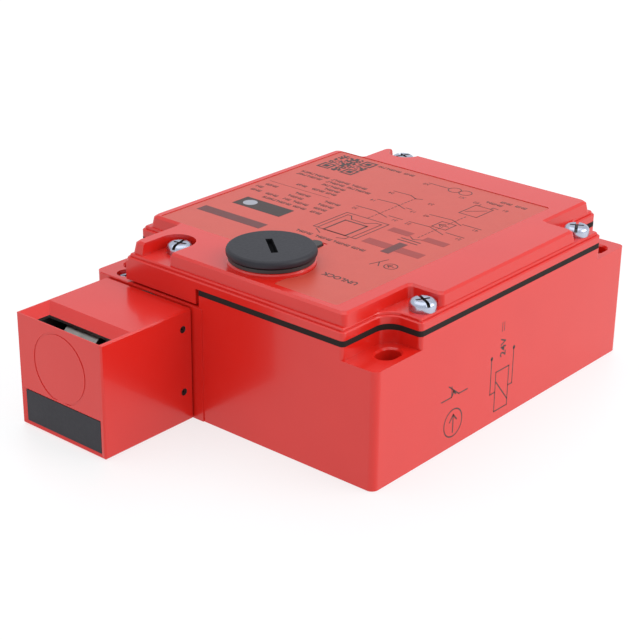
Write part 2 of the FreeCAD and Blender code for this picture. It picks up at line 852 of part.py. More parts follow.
def make_cap_seal_strap():
    ring = upright(cap_x, cap_y, seal_outer_radius, seal_bottom, seal_top)
    peg_x = cap_x + strap_reach - strap_width / 2
    half = strap_width / 2
    bottom = cover_top - strap_slot_depth
    arm = block(cap_x + cap_boss_radius - 1, peg_x, cap_y - half, cap_y + half, bottom, seal_top)
    tab = upright(peg_x, cap_y, half, bottom, seal_top)
    tail = arm.fuse(tab)
    tail = tail.cut(block(cap_x + seal_outer_radius + half, cap_x + strap_reach + 1, cap_y - strap_width,
                          cap_y + strap_width, cover_top + seal_thickness / 3, seal_top + 1))
    peg = upright(peg_x, cap_y, strap_peg_radius, cover_top - cover_roof, cover_top)
    strap = fused([ring, tail, peg])
    strap = strap.cut(upright(cap_x, cap_y, cap_stem_radius + running_clearance, cover_bottom, cap_top))
    return strap.cut(cap_boss())


def make_unlock_spindle():
    foot_top = body_floor + spindle_boss_height
    head_bottom = cap_bore_floor + running_clearance
    head_top = head_bottom + spindle_head_height
    foot = upright(cap_x, cap_y, spindle_foot_radius, foot_top - spindle_foot_length + lever_float, foot_top)
    shoulder = upright(cap_x, cap_y, spindle_shoulder_radius, foot_top + lever_float, lever_top)
    rod = upright(cap_x, cap_y, spindle_radius, foot_top - 1, head_bottom + 1)
    rod = rod.cut(upright(cap_x, cap_y, spindle_radius + 1, foot_top - 2, foot_top + lever_float))
    triangle = Part.Face(Part.makePolygon([
        Vector(cap_x + spindle_head_radius * math.cos(turn), cap_y + spindle_head_radius * math.sin(turn), head_bottom)
        for turn in [math.radians(90 + 120 * step) for step in (0, 1, 2, 3)]]))
    head = triangle.extrude(Vector(0, 0, head_top - head_bottom))
    angle = math.radians(finger_rest_angle)
    length = finger_length - finger_width / 2
    finger = bar((cap_x, cap_y), (cap_x + length * math.cos(angle), cap_y + length * math.sin(angle)),
                 finger_width, lever_bottom, lever_top)
    neck = upright(cap_x, cap_y, spindle_foot_radius, foot_top - 1, foot_top + lever_float + 1)
    spindle = fused([foot, neck, shoulder, rod, head, finger])
    clip_z = cover_bottom - spindle_hanger_length - lever_float - circlip_thickness
    groove = upright(cap_x, cap_y, spindle_radius + 1, clip_z, clip_z + circlip_thickness)
    return spindle.cut(groove.cut(upright(cap_x, cap_y, spindle_radius - circlip_thickness / 2, 0, cap_top)))


def make_spindle_circlip():
    clip_z = cover_bottom - spindle_hanger_length - lever_float - circlip_thickness
    ring = upright(cap_x, cap_y, spindle_radius + circlip_rim, clip_z, clip_z + circlip_thickness)
    bore = upright(cap_x, cap_y, spindle_radius - circlip_thickness / 2, clip_z - 1, cap_top)
    gap = block(cap_x, cap_x + cap_radius, cap_y - circlip_rim / 2, cap_y + circlip_rim / 2, clip_z - 1, cap_top)
    return without(ring, [bore, gap])


# --- tongue head ---
def head_bore():
    return along_x(head_y, head_axis_height, spigot_radius + spigot_clearance, cavity_back - 1, body_front)


def slot_mouth():
    low = cavity_roof
    half = slot_width / 2
    small = Part.makePolygon([
        Vector(cavity_front, head_y - half, low), Vector(slot_back, head_y - half, low),
        Vector(slot_back, head_y + half, low), Vector(cavity_front, head_y + half, low),
        Vector(cavity_front, head_y - half, low)])
    front = head_front + slot_mouth_front
    back = slot_back + slot_mouth_back
    side = half + slot_mouth_side
    large = Part.makePolygon([
        Vector(front, head_y - side, head_height), Vector(back, head_y - side, head_height),
        Vector(back, head_y + side, head_height), Vector(front, head_y + side, head_height),
        Vector(front, head_y - side, head_height)])
    return Part.makeLoft([small, large], True, True)


def plug_solid(gap):
    half = plug_width / 2 - gap
    low = plug_bottom + gap
    high = plug_bottom + plug_height - gap
    inner_half = slot_width / 2 - gap
    inner_low = front_slot_bottom + gap
    inner_high = front_slot_bottom + slot_thickness - gap
    face_x = head_front
    outer = Part.makePolygon([
        Vector(face_x, head_y - half, low), Vector(face_x, head_y + half, low),
        Vector(face_x, head_y + half, high), Vector(face_x, head_y - half, high), Vector(face_x, head_y - half, low)])
    inner = Part.makePolygon([
        Vector(cavity_front, head_y - inner_half, inner_low), Vector(cavity_front, head_y + inner_half, inner_low),
        Vector(cavity_front, head_y + inner_half, inner_high), Vector(cavity_front, head_y - inner_half, inner_high),
        Vector(cavity_front, head_y - inner_half, inner_low)])
    return Part.makeLoft([outer, inner], True, True)


def head_outline():
    solid = block(head_front, head_back, head_near, head_far, 0, head_height)
    edges = []
    for edge in solid.Edges:
        at_back = all(abs(v.X - head_back) < 0.001 for v in edge.Vertexes)
        over_face = all(abs(v.X - head_front) + abs(v.Z - head_height) < 0.001 for v in edge.Vertexes)
        if not at_back and not over_face:
            edges.append(edge)
    return solid.makeChamfer(head_edge, edges)


def make_head_casing():
    cavity = block(cavity_front, cavity_back, cavity_near, cavity_far, -1, cavity_roof)
    plate_seat = block(cavity_front - base_plate_margin + 1, cavity_back + base_plate_margin,
                       cavity_near - base_plate_margin, cavity_far + base_plate_margin, -1, head_floor - base_plate_sink)
    cuts = [cavity, plate_seat, head_bore(), slot_mouth(), plug_solid(0)]
    ring = along_x(head_y, ring_mark_height, ring_mark_radius + ring_mark_width / 2, head_front - 1,
                   head_front + ring_mark_depth)
    ring = ring.cut(along_x(head_y, ring_mark_height, ring_mark_radius - ring_mark_width / 2, head_front - 2, cavity_front))
    ring = ring.cut(block(head_front - 1, cavity_front, head_near, head_far, 0, plug_bottom + plug_height + ring_mark_width))
    cuts.append(ring)
    for side in (-1, 1):
        z = head_axis_height + side * pin_offset
        cuts.append(along_y(pin_x, z, pin_radius, head_near - 1, head_far + 1))
    cuts.append(along_y(cam_x, cam_z, axle_radius, cavity_near - axle_seat_depth, cavity_far + axle_seat_depth))
    return without(head_outline(), cuts)


def make_head_base_plate():
    return block(cavity_front - base_plate_margin + 1, cavity_back + base_plate_margin,
                 cavity_near - base_plate_margin, cavity_far + base_plate_margin,
                 head_floor - base_plate_sink - base_plate_thickness, head_floor - base_plate_sink)


def make_slot_plug():
    shell = plug_solid(plug_gap)
    half = slot_width / 2 - plug_gap
    low = front_slot_bottom + plug_gap
    high = front_slot_bottom + slot_thickness - plug_gap
    insert = block(cavity_front - plug_overlap, cavity_front + plug_insert_depth, head_y - half, head_y + half, low, high)
    core = block(cavity_front + plug_overlap, cavity_front + plug_insert_depth + 1, head_y - half + plug_side_wall,
                 head_y + half - plug_side_wall, low + plug_wall, high - plug_wall)
    front = block(head_front - 1, head_front + plug_sink, head_near, head_far, 0, head_height)
    return without(fused([shell, insert]), [core, front])


def make_slot_guard():
    top = cavity_roof
    low = top - guard_drop
    half = slot_width / 2
    sheet = guard_thickness
    plate = block(cavity_front, slot_back + guard_back_margin, cavity_near, cavity_far, top - sheet, top)
    plate = plate.cut(block(cavity_front + sheet, slot_back, head_y - half, head_y + half, top - 2 * sheet, top + 1))
    apron = block(cavity_front, cavity_front + sheet, head_y - half, head_y + half, low, top)
    return fused([plate, apron])


def make_head_pins():
    pins = []
    for side in (-1, 1):
        z = head_axis_height + side * pin_offset
        pin = along_y(pin_x, z, pin_radius, head_near + pin_end_gap, head_far - pin_end_gap)
        pins.append(pin.cut(along_y(pin_x, z, pin_radius - pin_wall, head_near, head_far)))
    return Part.makeCompound(pins)


def cam_radius(angle):
    fall = cam_stroke / cam_swing
    floor = cam_lobe_radius - cam_stroke - cam_floor_drop
    if -cam_swing - cam_dwell <= angle <= 0:
        return max(cam_lobe_radius + fall * angle, floor)
    if angle > 0:
        blend = min(max((angle - cam_front_start) / cam_front_blend, 0), 1)
        return cam_lobe_radius + (cam_front_radius - cam_lobe_radius) * blend
    blend = min((-angle - cam_swing - cam_dwell) / cam_back_blend, 1)
    return floor + (cam_front_radius - floor) * blend


def cam_point(angle):
    turn = math.radians(angle)
    radius = cam_radius((angle + 180) % 360 - 180)
    return Vector(cam_x + radius * math.cos(turn), head_y - cam_thickness / 2, cam_z + radius * math.sin(turn))


def make_cam_rotor():
    arcs = []
    for angle in range(-180, 180, cam_step):
        arcs.append(Part.Arc(*[cam_point(angle + share * cam_step) for share in (0, 0.5, 1)]).toShape())
    disc = Part.Face(Part.Wire(arcs)).extrude(Vector(0, cam_thickness, 0))
    centre = Vector(cam_x, head_y, cam_z)
    horn = block(cam_x, cam_x + cam_horn_radius, head_y - cam_thickness / 2, head_y + cam_thickness / 2,
                 cam_z - cam_horn_width - cam_gullet_radius / 2, cam_z + cam_horn_width + cam_gullet_radius / 2)
    gullet = along_y(cam_x + cam_horn_radius - cam_gullet_radius, cam_z, cam_gullet_radius, cavity_near, cavity_far)
    mouth = block(cam_x + cam_horn_radius - cam_gullet_radius, cam_x + cam_horn_radius + 1, cavity_near, cavity_far,
                  cam_z - cam_gullet_radius, cam_z + cam_gullet_radius)
    horns = horn.cut(gullet).cut(mouth)
    limit = along_y(cam_x, cam_z, cam_horn_radius, cavity_near, cavity_far)
    horns = horns.common(limit)
    horns.rotate(centre, Vector(0, -1, 0), cam_gullet_angle)
    notch = gullet.fuse(mouth)
    notch.rotate(centre, Vector(0, -1, 0), cam_gullet_angle)
    hub = along_y(cam_x, cam_z, cam_hub_radius, cavity_near + cam_side_gap, cavity_far - cam_side_gap)
    rotor = fused([disc, horns, hub]).cut(notch)
    return rotor.cut(along_y(cam_x, cam_z, axle_radius + running_clearance, cavity_near, cavity_far))


def make_cam_axle():
    return along_y(cam_x, cam_z, axle_radius, cavity_near - axle_seat_depth, cavity_far + axle_seat_depth)


def make_head_gasket():
    sheet = block(head_back, head_back + head_gasket_thickness, head_near + head_gasket_inset,
                  head_far - head_gasket_inset, head_gasket_inset, head_height - head_gasket_inset)
    return sheet.cut(along_x(head_y, head_axis_height, spigot_radius + spigot_clearance, head_back - 1, body_front + 1))


def spigot_screw_points():
    places = []
    for step in range(4):
        angle = math.radians(45 + 90 * step)
        places.append((head_y + spigot_screw_circle * math.cos(angle),
                       head_axis_height + spigot_screw_circle * math.sin(angle)))
    return places


def make_head_spigot():
    seat = body_front - seat_rise
    tube = along_x(head_y, head_axis_height, spigot_radius, spigot_front, wall_inner)
    flange = along_x(head_y, head_axis_height, spigot_flange_radius, seat, seat + spigot_flange_thickness)
    spigot = fused([tube, flange])
    groove = along_x(head_y, head_axis_height, spigot_radius + 1, pin_x - pin_radius, pin_x + pin_radius)
    groove = groove.cut(along_x(head_y, head_axis_height, pin_offset - pin_radius, head_front, body_back))
    cuts = [groove, along_x(head_y, head_axis_height, spigot_bore_radius, spigot_front - 1, wall_inner + 1)]
    for y, z in spigot_screw_points():
        cuts.append(along_x(y, z, spigot_screw_shank_radius, seat - 1, wall_inner))
        cuts.append(along_x(y, z, spigot_screw_head_radius, seat - 1, seat + spigot_screw_head_height))
    return without(spigot, cuts)


def make_spigot_screws():
    seat = body_front - seat_rise
    screws = []
    for y, z in spigot_screw_points():
        head = along_x(y, z, spigot_screw_head_radius, seat, seat + spigot_screw_head_height)
        head = head.cut(block(seat - 1, seat + spigot_screw_head_height / 2, y - spigot_screw_head_radius,
                              y + spigot_screw_head_radius, z - screw_slot_width / 2, z + screw_slot_width / 2))
        shank = along_x(y, z, spigot_screw_shank_radius, seat + spigot_screw_head_height / 2,
                        body_front + spigot_screw_length)
        screws.append(head.fuse(shank))
    return Part.makeCompound(screws)


def make_head_lock_screw():
    x, y = lock_screw_point()
    seat = pad_height - lock_screw_sink - lock_screw_head_height
    return pan_screw(x, y, seat, lock_screw_head_radius, lock_screw_head_height, lock_screw_shank_radius,
                     lock_screw_length)


# --- plunger ---
def make_plunger():
    nose_length = plunger_radius - plunger_tip_radius
    nose = Part.makeCone(plunger_tip_radius, plunger_radius, nose_length,
                         Vector(plunger_tip, head_y, head_axis_height), Vector(1, 0, 0))
    rod = along_x(head_y, head_axis_height, plunger_radius, plunger_tip + nose_length, plunger_end)
    collar = along_x(head_y, head_axis_height, plunger_collar_radius, collar_front, collar_back)
    return fused([nose, rod, collar])


def make_plunger_bush():
    bush = along_x(head_y, head_axis_height, spigot_bore_radius, wall_inner - bush_length, wall_inner)
    return bush.cut(along_x(head_y, head_axis_height, plunger_radius + running_clearance, spigot_front, wall_inner + 1))


def make_plunger_spring():
    start = collar_back + spring_wire_radius
    length = block_front - spring_wire_radius - start
    radius = plunger_radius + 2 * spring_wire_radius
    return coil_spring(Vector(start, head_y, head_axis_height), Vector(1, 0, 0), length, radius, plunger_spring_turns)


# --- contact block ---
def make_contact_base():
    half = block_width / 2
    base = block(block_front, block_back, head_y - half, head_y + half, body_floor, block_top)
    pocket_half = half - block_side_wall
    pocket = block(block_front + block_end_wall, block_back - block_end_wall, head_y - pocket_half,
                   head_y + pocket_half, pocket_bottom, block_top + 1)
    half_y = slider_width / 2 + slider_clearance
    half_z = slider_height / 2 + slider_clearance
    guide = block(block_front - 1, block_front + block_end_wall + 1, head_y - half_y, head_y + half_y,
                  slider_z - half_z, block_top + 1)
    ears = []
    ear_z = body_floor + floor_boss_height
    for x, y in block_ear_points():
        reach = ear_length / 2 + 1
        ears.append(block(x - reach, x + reach, y - ear_width / 2, y + ear_width / 2, ear_z, ear_z + ear_thickness))
    cuts = [pocket, guide]
    for x, y in block_ear_points():
        cuts.append(upright(x, y, floor_screw_shank_radius, 0, rim_height))
    for x in pole_places():
        for side in (-1, 1):
            y = head_y + side * (half - block_side_wall / 2)
            cuts.append(upright(x, y, terminal_screw_shank_radius, block_top - terminal_screw_length, block_top + 1))
    body = fused([base] + ears)
    for x, y in block_ear_points():
        if x < block_front:
            cuts.append(block(x - ear_length, x - ear_length / 2, y - ear_width, y + ear_width, ear_z - 1, block_top))
    return without(body, cuts)


def bridge_box(x, grow):
    half = bridge_length / 2 + grow
    return block(x - bridge_thickness / 2 - grow, x + bridge_thickness / 2 + grow, head_y - half, head_y + half,
                 slider_z - bridge_height / 2 - grow, slider_z + bridge_height / 2 + grow)


def make_contact_slider():
    half_y = slider_width / 2
    half_z = slider_height / 2
    shoulder = block_front + cam_stroke + plunger_block_gap
    bar_part = block(shoulder, slider_end, head_y - half_y, head_y + half_y, slider_z - half_z, slider_z + half_z)
    nose = along_x(head_y, slider_z, half_y, slider_tip, shoulder + 1)
    return without(fused([bar_part, nose]), [bridge_box(x, 0) for x in pole_places()])


def closing_side(index):
    return 1 if index == pole_count - 1 else -1


def make_contact_bridges():
    bridges = []
    for index, x in enumerate(pole_places()):
        side = closing_side(index)
        face = x + side * bridge_thickness / 2
        bridge = bridge_box(x, 0)
        for end in (-1, 1):
            y = head_y + end * (bridge_length / 2 - rivet_inset)
            tip = along_x(y, slider_z, rivet_radius, min(face, face + side * rivet_height), max(face, face + side * rivet_height))
            bridge = bridge.fuse(tip)
        bridges.append(bridge)
    return Part.makeCompound(bridges)


def make_fixed_contacts():
    half = block_width / 2
    strips = []
    for index, x in enumerate(pole_places()):
        side = closing_side(index)
        travel = contact_gap if side > 0 else contact_gap + cam_stroke
        face = x + side * (bridge_thickness / 2 + rivet_height + travel)
        low_x = min(face, face + side * strip_thickness)
        for end in (-1, 1):
            inner = head_y + end * (bridge_length / 2 - rivet_inset - rivet_radius)
            outer = head_y + end * (half - strip_edge_gap)
            wall = head_y + end * (half - block_side_wall)
            upright_tab = block(low_x, low_x + strip_thickness, min(inner, wall), max(inner, wall),
                                slider_z - rivet_radius, block_top + strip_thickness)
            x0 = min(x - strip_width / 2, low_x)
            x1 = max(x + strip_width / 2, low_x + strip_thickness)
            plate = block(x0, x1, min(outer, wall), max(outer, wall), block_top, block_top + strip_thickness)
            strip = fused([upright_tab, plate])
            screw_y = head_y + end * (half - block_side_wall / 2)
            strips.append(strip.cut(upright(x, screw_y, terminal_screw_shank_radius, body_floor, rim_height)))
    return Part.makeCompound(strips)


def terminal_places():
    offset = block_width / 2 - block_side_wall / 2
    return [(x, head_y + side * offset) for x in pole_places() for side in (-1, 1)]


def make_terminal_clamps():
    low = block_top + strip_thickness
    clamps = []
    half = clamp_size / 2
    for x, y in terminal_places():
        clamp = block(x - half, x + half, y - half + clamp_edge_gap, y + half - clamp_edge_gap, low, low + clamp_thickness)
        clamps.append(clamp.cut(upright(x, y, terminal_screw_shank_radius, body_floor, rim_height)))
    return Part.makeCompound(clamps)


def make_terminal_screws():
    seat = block_top + strip_thickness + clamp_thickness
    length = terminal_screw_length + strip_thickness + clamp_thickness - 1
    return Part.makeCompound([
        pan_screw(x, y, seat, terminal_screw_head_radius, terminal_screw_head_height, terminal_screw_shank_radius,
                  length) for x, y in terminal_places()])


def floor_screw(x, y, seat):
    length = seat - (body_floor + floor_boss_height - floor_screw_depth) - screw_tip_gap
    return pan_screw(x, y, seat, floor_screw_head_radius, floor_screw_head_height, floor_screw_shank_radius, length)


def make_contact_base_screws():
    seat = body_floor + floor_boss_height + ear_thickness
    return Part.makeCompound([floor_screw(x, y, seat) for x, y in block_ear_points()])


def make_slider_spring():
    start = Vector(slider_end + spring_wire_radius, head_y, slider_z)
    length = slider_spring_length - 2 * spring_wire_radius
    return coil_spring(start, Vector(1, 0, 0), length, slider_width / 3, slider_spring_turns)


# --- solenoid ---
def make_solenoid_yoke():
    low = solenoid_y - solenoid_width / 2
    high = solenoid_y + solenoid_width / 2
    top = solenoid_bottom + solenoid_height
    frame = block(solenoid_front, solenoid_back, low, high, solenoid_bottom, top)
    window = block(solenoid_front + yoke_plate, solenoid_back - yoke_plate, low - 1, high + 1,
                   solenoid_bottom + yoke_plate, top - yoke_plate)
    feet = []
    foot_z = body_floor + floor_boss_height
    for x, y in solenoid_foot_points():
        reach = floor_boss_radius + yoke_plate / 2
        centre = x + (yoke_plate / 2 if x < solenoid_front else -yoke_plate / 2)
        feet.append(block(centre - reach, centre + reach, y - floor_boss_radius, y + floor_boss_radius,
                          foot_z, foot_z + yoke_plate))
    bore = along_x(solenoid_y, solenoid_z, armature_radius + 2 * running_clearance, solenoid_front - 1,
                   solenoid_front + yoke_plate + 1)
    core_bore = along_x(solenoid_y, solenoid_z, armature_radius, solenoid_back - yoke_plate - 1, solenoid_back + 1)
    cuts = [window, bore, core_bore]
    cuts += [upright(x, y, floor_screw_shank_radius, 0, foot_z + yoke_plate + 1) for x, y in solenoid_foot_points()]
    return without(fused([frame] + feet), cuts)


def make_coil_bobbin():
    front = solenoid_front + yoke_plate
    back = solenoid_back - yoke_plate
    tube = along_x(solenoid_y, solenoid_z, bobbin_bore + bobbin_wall, front, back)
    flanges = [along_x(solenoid_y, solenoid_z, winding_radius + bobbin_flange_reach, x, x + bobbin_flange)
               for x in (front, back - bobbin_flange)]
    return fused([tube] + flanges).cut(along_x(solenoid_y, solenoid_z, bobbin_bore, front - 1, back + 1))


def make_coil_winding():
    front = solenoid_front + yoke_plate + bobbin_flange
    back = solenoid_back - yoke_plate - bobbin_flange
    winding = along_x(solenoid_y, solenoid_z, winding_radius, front, back)
    return winding.cut(along_x(solenoid_y, solenoid_z, bobbin_bore + bobbin_wall, front - 1, back + 1))


def make_pole_piece():
    front = armature_end + armature_stroke + armature_back_gap
    return along_x(solenoid_y, solenoid_z, armature_radius, front, solenoid_back)


def make_solenoid_screws():
    seat = body_floor + floor_boss_height + yoke_plate
    return Part.makeCompound([floor_screw(x, y, seat) for x, y in solenoid_foot_points()])


def make_armature():
    rod = along_x(solenoid_y, solenoid_z, armature_radius, armature_tip, armature_end)
    collar_x = armature_tip + armature_collar_from_tip
    collar = along_x(solenoid_y, solenoid_z, armature_collar_radius, collar_x, collar_x + armature_collar_length)
    fork = block(armature_tip - 1, collar_x - fork_web, solenoid_y - armature_radius - 1, solenoid_y + armature_radius + 1,
                 lever_bottom - fork_clearance, lever_top + fork_clearance)
    armature = fused([rod, collar]).cut(fork)
    return armature.cut(upright(pivot_x, solenoid_y, armature_pin_radius, 0, rim_height))


def make_armature_pin():
    reach = math.sqrt(armature_radius ** 2 - armature_pin_radius ** 2)
    return upright(pivot_x, solenoid_y, armature_pin_radius, solenoid_z - reach, solenoid_z + reach)


def make_armature_spring():
    start = armature_tip + armature_collar_from_tip + armature_collar_length + spring_wire_radius
    length = solenoid_front - spring_wire_radius - start
    return coil_spring(Vector(start, solenoid_y, solenoid_z), Vector(1, 0, 0), length,
                       armature_radius + 2 * spring_wire_radius, armature_spring_turns)


# --- locking lever ---
def make_locking_lever():
    hub = upright(pivot_x, pivot_y, lever_hub_radius, lever_bottom, lever_top)
    tail = bar((pivot_x, pivot_y), (pivot_x, solenoid_y - 1), lever_arm_width, lever_bottom, lever_top)
    nose_root = (nose_x, nose_tip_y - lever_nose_length + lever_nose_width / 2)
    arm = bar((pivot_x, pivot_y), nose_root, lever_arm_width, lever_bottom, lever_top)
    nose = block(nose_x - lever_nose_width / 2, nose_x + lever_nose_width / 2, nose_root[1], nose_tip_y,
                 lever_bottom, lever_top)
    swing = math.atan(armature_stroke / lever_reach)
    slot_length = lever_reach / math.cos(swing) - lever_reach + 2 * (armature_pin_radius + lever_float)
    slot_half = armature_pin_radius + lever_float
    slot = block(pivot_x - slot_half, pivot_x + slot_half, solenoid_y + slot_half - slot_length - fork_slot_gap,
                 solenoid_y + slot_half, 0, rim_height)
    lever = fused([hub, tail, arm, nose])
    return without(lever, [slot, upright(pivot_x, pivot_y, pivot_radius + running_clearance, 0, rim_height)])


def make_lever_pivot_pin():
    shaft = upright(pivot_x, pivot_y, pivot_radius, body_floor, lever_top + lever_float)
    head = upright(pivot_x, pivot_y, pivot_head_radius, lever_top + lever_float,
                   lever_top + lever_float + pivot_head_thickness)
    return shaft.fuse(head)


# --- coil terminals and earth ---
def coil_screw_points():
    middle = body_back - coil_block_from_back + coil_block_length / 2
    step_x = coil_block_length / 4
    step_y = coil_block_width / 4
    return [(middle + sx * step_x, coil_block_y + sy * step_y) for sx in (-1, 1) for sy in (-1, 1)]


def make_coil_terminal_block():
    front = body_back - coil_block_from_back
    half = coil_block_width / 2
    top = body_floor + coil_block_height
    body = block(front, front + coil_block_length, coil_block_y - half, coil_block_y + half, body_floor, top)
    cuts = [upright(x, y, coil_screw_radius, top - coil_screw_sink - coil_screw_length, top + 1)
            for x, y in coil_screw_points()]
    wire_z = top - coil_screw_sink - coil_screw_length
    for y in (coil_block_y - coil_block_width / 4, coil_block_y + coil_block_width / 4):
        cuts.append(along_x(y, wire_z, coil_wire_radius, front - 1, front + coil_block_length + 1))
    return without(body, cuts)


def make_coil_terminal_screws():
    top = body_floor + coil_block_height - coil_screw_sink
    screws = []
    for x, y in coil_screw_points():
        screw = upright(x, y, coil_screw_radius, top - coil_screw_length, top)
        screws.append(screw.cut(block(x - coil_screw_radius, x + coil_screw_radius, y - screw_slot_width / 2,
                                     y + screw_slot_width / 2, top - screw_slot_depth, top + 1)))
    return Part.makeCompound(screws)


def make_earth_clamp():
    x = body_back - earth_from_back
    low = body_floor + floor_boss_height
    half = clamp_size / 2
    clamp = block(x - half, x + half, earth_y - half, earth_y + half, low, low + clamp_thickness)
    return clamp.cut(upright(x, earth_y, floor_screw_shank_radius, 0, rim_height))


def make_earth_screw():
    return floor_screw(body_back - earth_from_back, earth_y, body_floor + floor_boss_height + clamp_thickness)


makers = {
    "housing": make_housing, "cover_gasket": make_cover_gasket, "cover": make_cover,
    "cover_screws": make_cover_screws, "label": make_label, "unlock_cap": make_unlock_cap,
    "cap_seal_strap": make_cap_seal_strap, "unlock_spindle": make_unlock_spindle,
    "spindle_circlip": make_spindle_circlip, "head_casing": make_head_casing,
    "head_base_plate": make_head_base_plate, "slot_plug": make_slot_plug, "slot_guard": make_slot_guard,
    "head_pins": make_head_pins, "cam_rotor": make_cam_rotor, "cam_axle": make_cam_axle,
    "head_gasket": make_head_gasket, "head_spigot": make_head_spigot, "spigot_screws": make_spigot_screws,
    "head_lock_screw": make_head_lock_screw, "plunger": make_plunger, "plunger_bush": make_plunger_bush,
    "plunger_spring": make_plunger_spring, "contact_base": make_contact_base,
    "contact_slider": make_contact_slider, "contact_bridges": make_contact_bridges,
    "fixed_contacts": make_fixed_contacts, "terminal_clamps": make_terminal_clamps,
    "terminal_screws": make_terminal_screws, "contact_base_screws": make_contact_base_screws,
    "slider_spring": make_slider_spring, "solenoid_yoke": make_solenoid_yoke, "coil_bobbin": make_coil_bobbin,
    "coil_winding": make_coil_winding, "pole_piece": make_pole_piece, "solenoid_screws": make_solenoid_screws,
    "armature": make_armature, "armature_pin": make_armature_pin, "armature_spring": make_armature_spring,
    "locking_lever": make_locking_lever, "lever_pivot_pin": make_lever_pivot_pin,
    "coil_terminal_block": make_coil_terminal_block, "coil_terminal_screws": make_coil_terminal_screws,
    "earth_clamp": make_earth_clamp, "earth_screw": make_earth_screw}

os.makedirs("parts", exist_ok=True)
for node, maker in makers.items():
    maker().exportStep("parts/" + node + ".step")
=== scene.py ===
import json
import math
from itertools import cycle
import bpy
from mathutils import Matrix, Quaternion, Vector

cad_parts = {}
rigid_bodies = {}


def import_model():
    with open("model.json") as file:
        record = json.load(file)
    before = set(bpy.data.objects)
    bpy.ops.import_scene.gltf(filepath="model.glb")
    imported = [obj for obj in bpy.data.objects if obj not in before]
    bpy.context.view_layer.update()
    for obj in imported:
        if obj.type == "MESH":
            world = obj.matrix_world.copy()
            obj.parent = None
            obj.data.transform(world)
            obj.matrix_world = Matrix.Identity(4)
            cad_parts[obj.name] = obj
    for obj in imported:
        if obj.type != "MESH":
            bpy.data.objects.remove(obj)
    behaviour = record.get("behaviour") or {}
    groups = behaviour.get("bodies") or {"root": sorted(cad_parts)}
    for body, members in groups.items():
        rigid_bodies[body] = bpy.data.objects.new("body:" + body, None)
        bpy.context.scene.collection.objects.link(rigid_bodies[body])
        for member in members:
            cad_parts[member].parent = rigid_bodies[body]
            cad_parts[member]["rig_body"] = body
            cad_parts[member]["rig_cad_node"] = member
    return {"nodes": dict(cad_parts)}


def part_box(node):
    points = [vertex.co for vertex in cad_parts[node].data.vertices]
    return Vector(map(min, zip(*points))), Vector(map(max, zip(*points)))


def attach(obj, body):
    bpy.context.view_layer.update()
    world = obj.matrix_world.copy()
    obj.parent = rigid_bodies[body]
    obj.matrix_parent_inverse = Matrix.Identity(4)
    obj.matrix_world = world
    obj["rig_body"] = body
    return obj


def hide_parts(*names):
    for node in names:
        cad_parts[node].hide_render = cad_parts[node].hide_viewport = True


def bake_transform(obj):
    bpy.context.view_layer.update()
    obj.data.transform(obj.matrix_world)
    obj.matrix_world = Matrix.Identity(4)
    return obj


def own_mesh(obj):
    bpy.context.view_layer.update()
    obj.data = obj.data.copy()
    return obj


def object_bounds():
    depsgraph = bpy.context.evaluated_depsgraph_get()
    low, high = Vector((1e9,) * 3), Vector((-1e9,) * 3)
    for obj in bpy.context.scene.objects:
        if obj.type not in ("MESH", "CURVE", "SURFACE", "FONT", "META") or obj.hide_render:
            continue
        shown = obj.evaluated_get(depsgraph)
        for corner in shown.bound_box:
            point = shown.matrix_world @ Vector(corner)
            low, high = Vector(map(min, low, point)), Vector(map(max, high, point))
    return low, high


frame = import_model()
cad_low, cad_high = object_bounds()
nodes = frame["nodes"]
mm = 0.001

# --- places and sizes taken from the solids, millimetres ---
housing_low, housing_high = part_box("housing")
head_low, head_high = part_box("head_casing")
cap_low, cap_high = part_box("unlock_cap")
label_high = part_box("label")[1]
screws_low, screws_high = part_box("cover_screws")
lock_low, lock_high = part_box("head_lock_screw")
front_rim_inset = 0.3
body_front = housing_low.x / mm + front_rim_inset
body_back = housing_high.x / mm
near = housing_low.y / mm
label_top = label_high.z / mm
cap_x = (cap_low.x + cap_high.x) / 2 / mm
cap_y = (cap_low.y + cap_high.y) / 2 / mm

# --- cable entries ---
entry_radius = 9.53
entry_spacing = 44.0
entry_height = 17.5
entry_thread_length = 8.0
thread_pitch = 1.41
thread_depth = 0.62
thread_seat_share = 0.62
thread_run_out = 1.2
thread_start = 0.7
cutter_overshoot = 1

# --- edge rounding, and the angles in degrees that count as an edge ---
edge_angle = 35
screw_edge_angle = 40
screw_smooth_angle = 30
flat_angle = 0.6
housing_edge = 0.4
casting_edge = 0.3
cap_edge = 0.45
strap_edge = 0.2
gasket_edge = 0.3
plug_edge = 0.15
film_edge = 0.04
screw_edge = 0.08

# --- bare metal inside the head, darkened as painted shade; painted shadow on the floor of the cap's slot ---
head_front_wall = 1.7
head_back_wall = 1.0
head_side_wall = 3.1
head_floor_skin = 0.1
head_roof = 2.2
cap_slot_reach = 6.0
cap_slot_skin = 0.1
cap_slot_depth = 1.6

# --- screws, with shares of the screw head's radius or height ---
screw_head_radius = 3.5
screw_head_height = 2.7
screw_shank_radius = 1.95
front_screw_inset = 23.4
back_screw_inset = 20.2
far_screw_step = 2.0
screw_length = 12.0
lock_screw_height = 1.6
lock_shank_radius = 1.25
dome_share = 0.52
slot_length_share = 2.4
slot_width_share = 0.25
slot_depth_share = 0.38
cross_width_share = 0.27
cross_length_share = 1.4
cross_depth_share = 0.72
cross_foot = (0.6, 0.45, 1)
screw_tip_share = 0.6
recess_reach_share = 0.97
recess_floor_share = 0.8

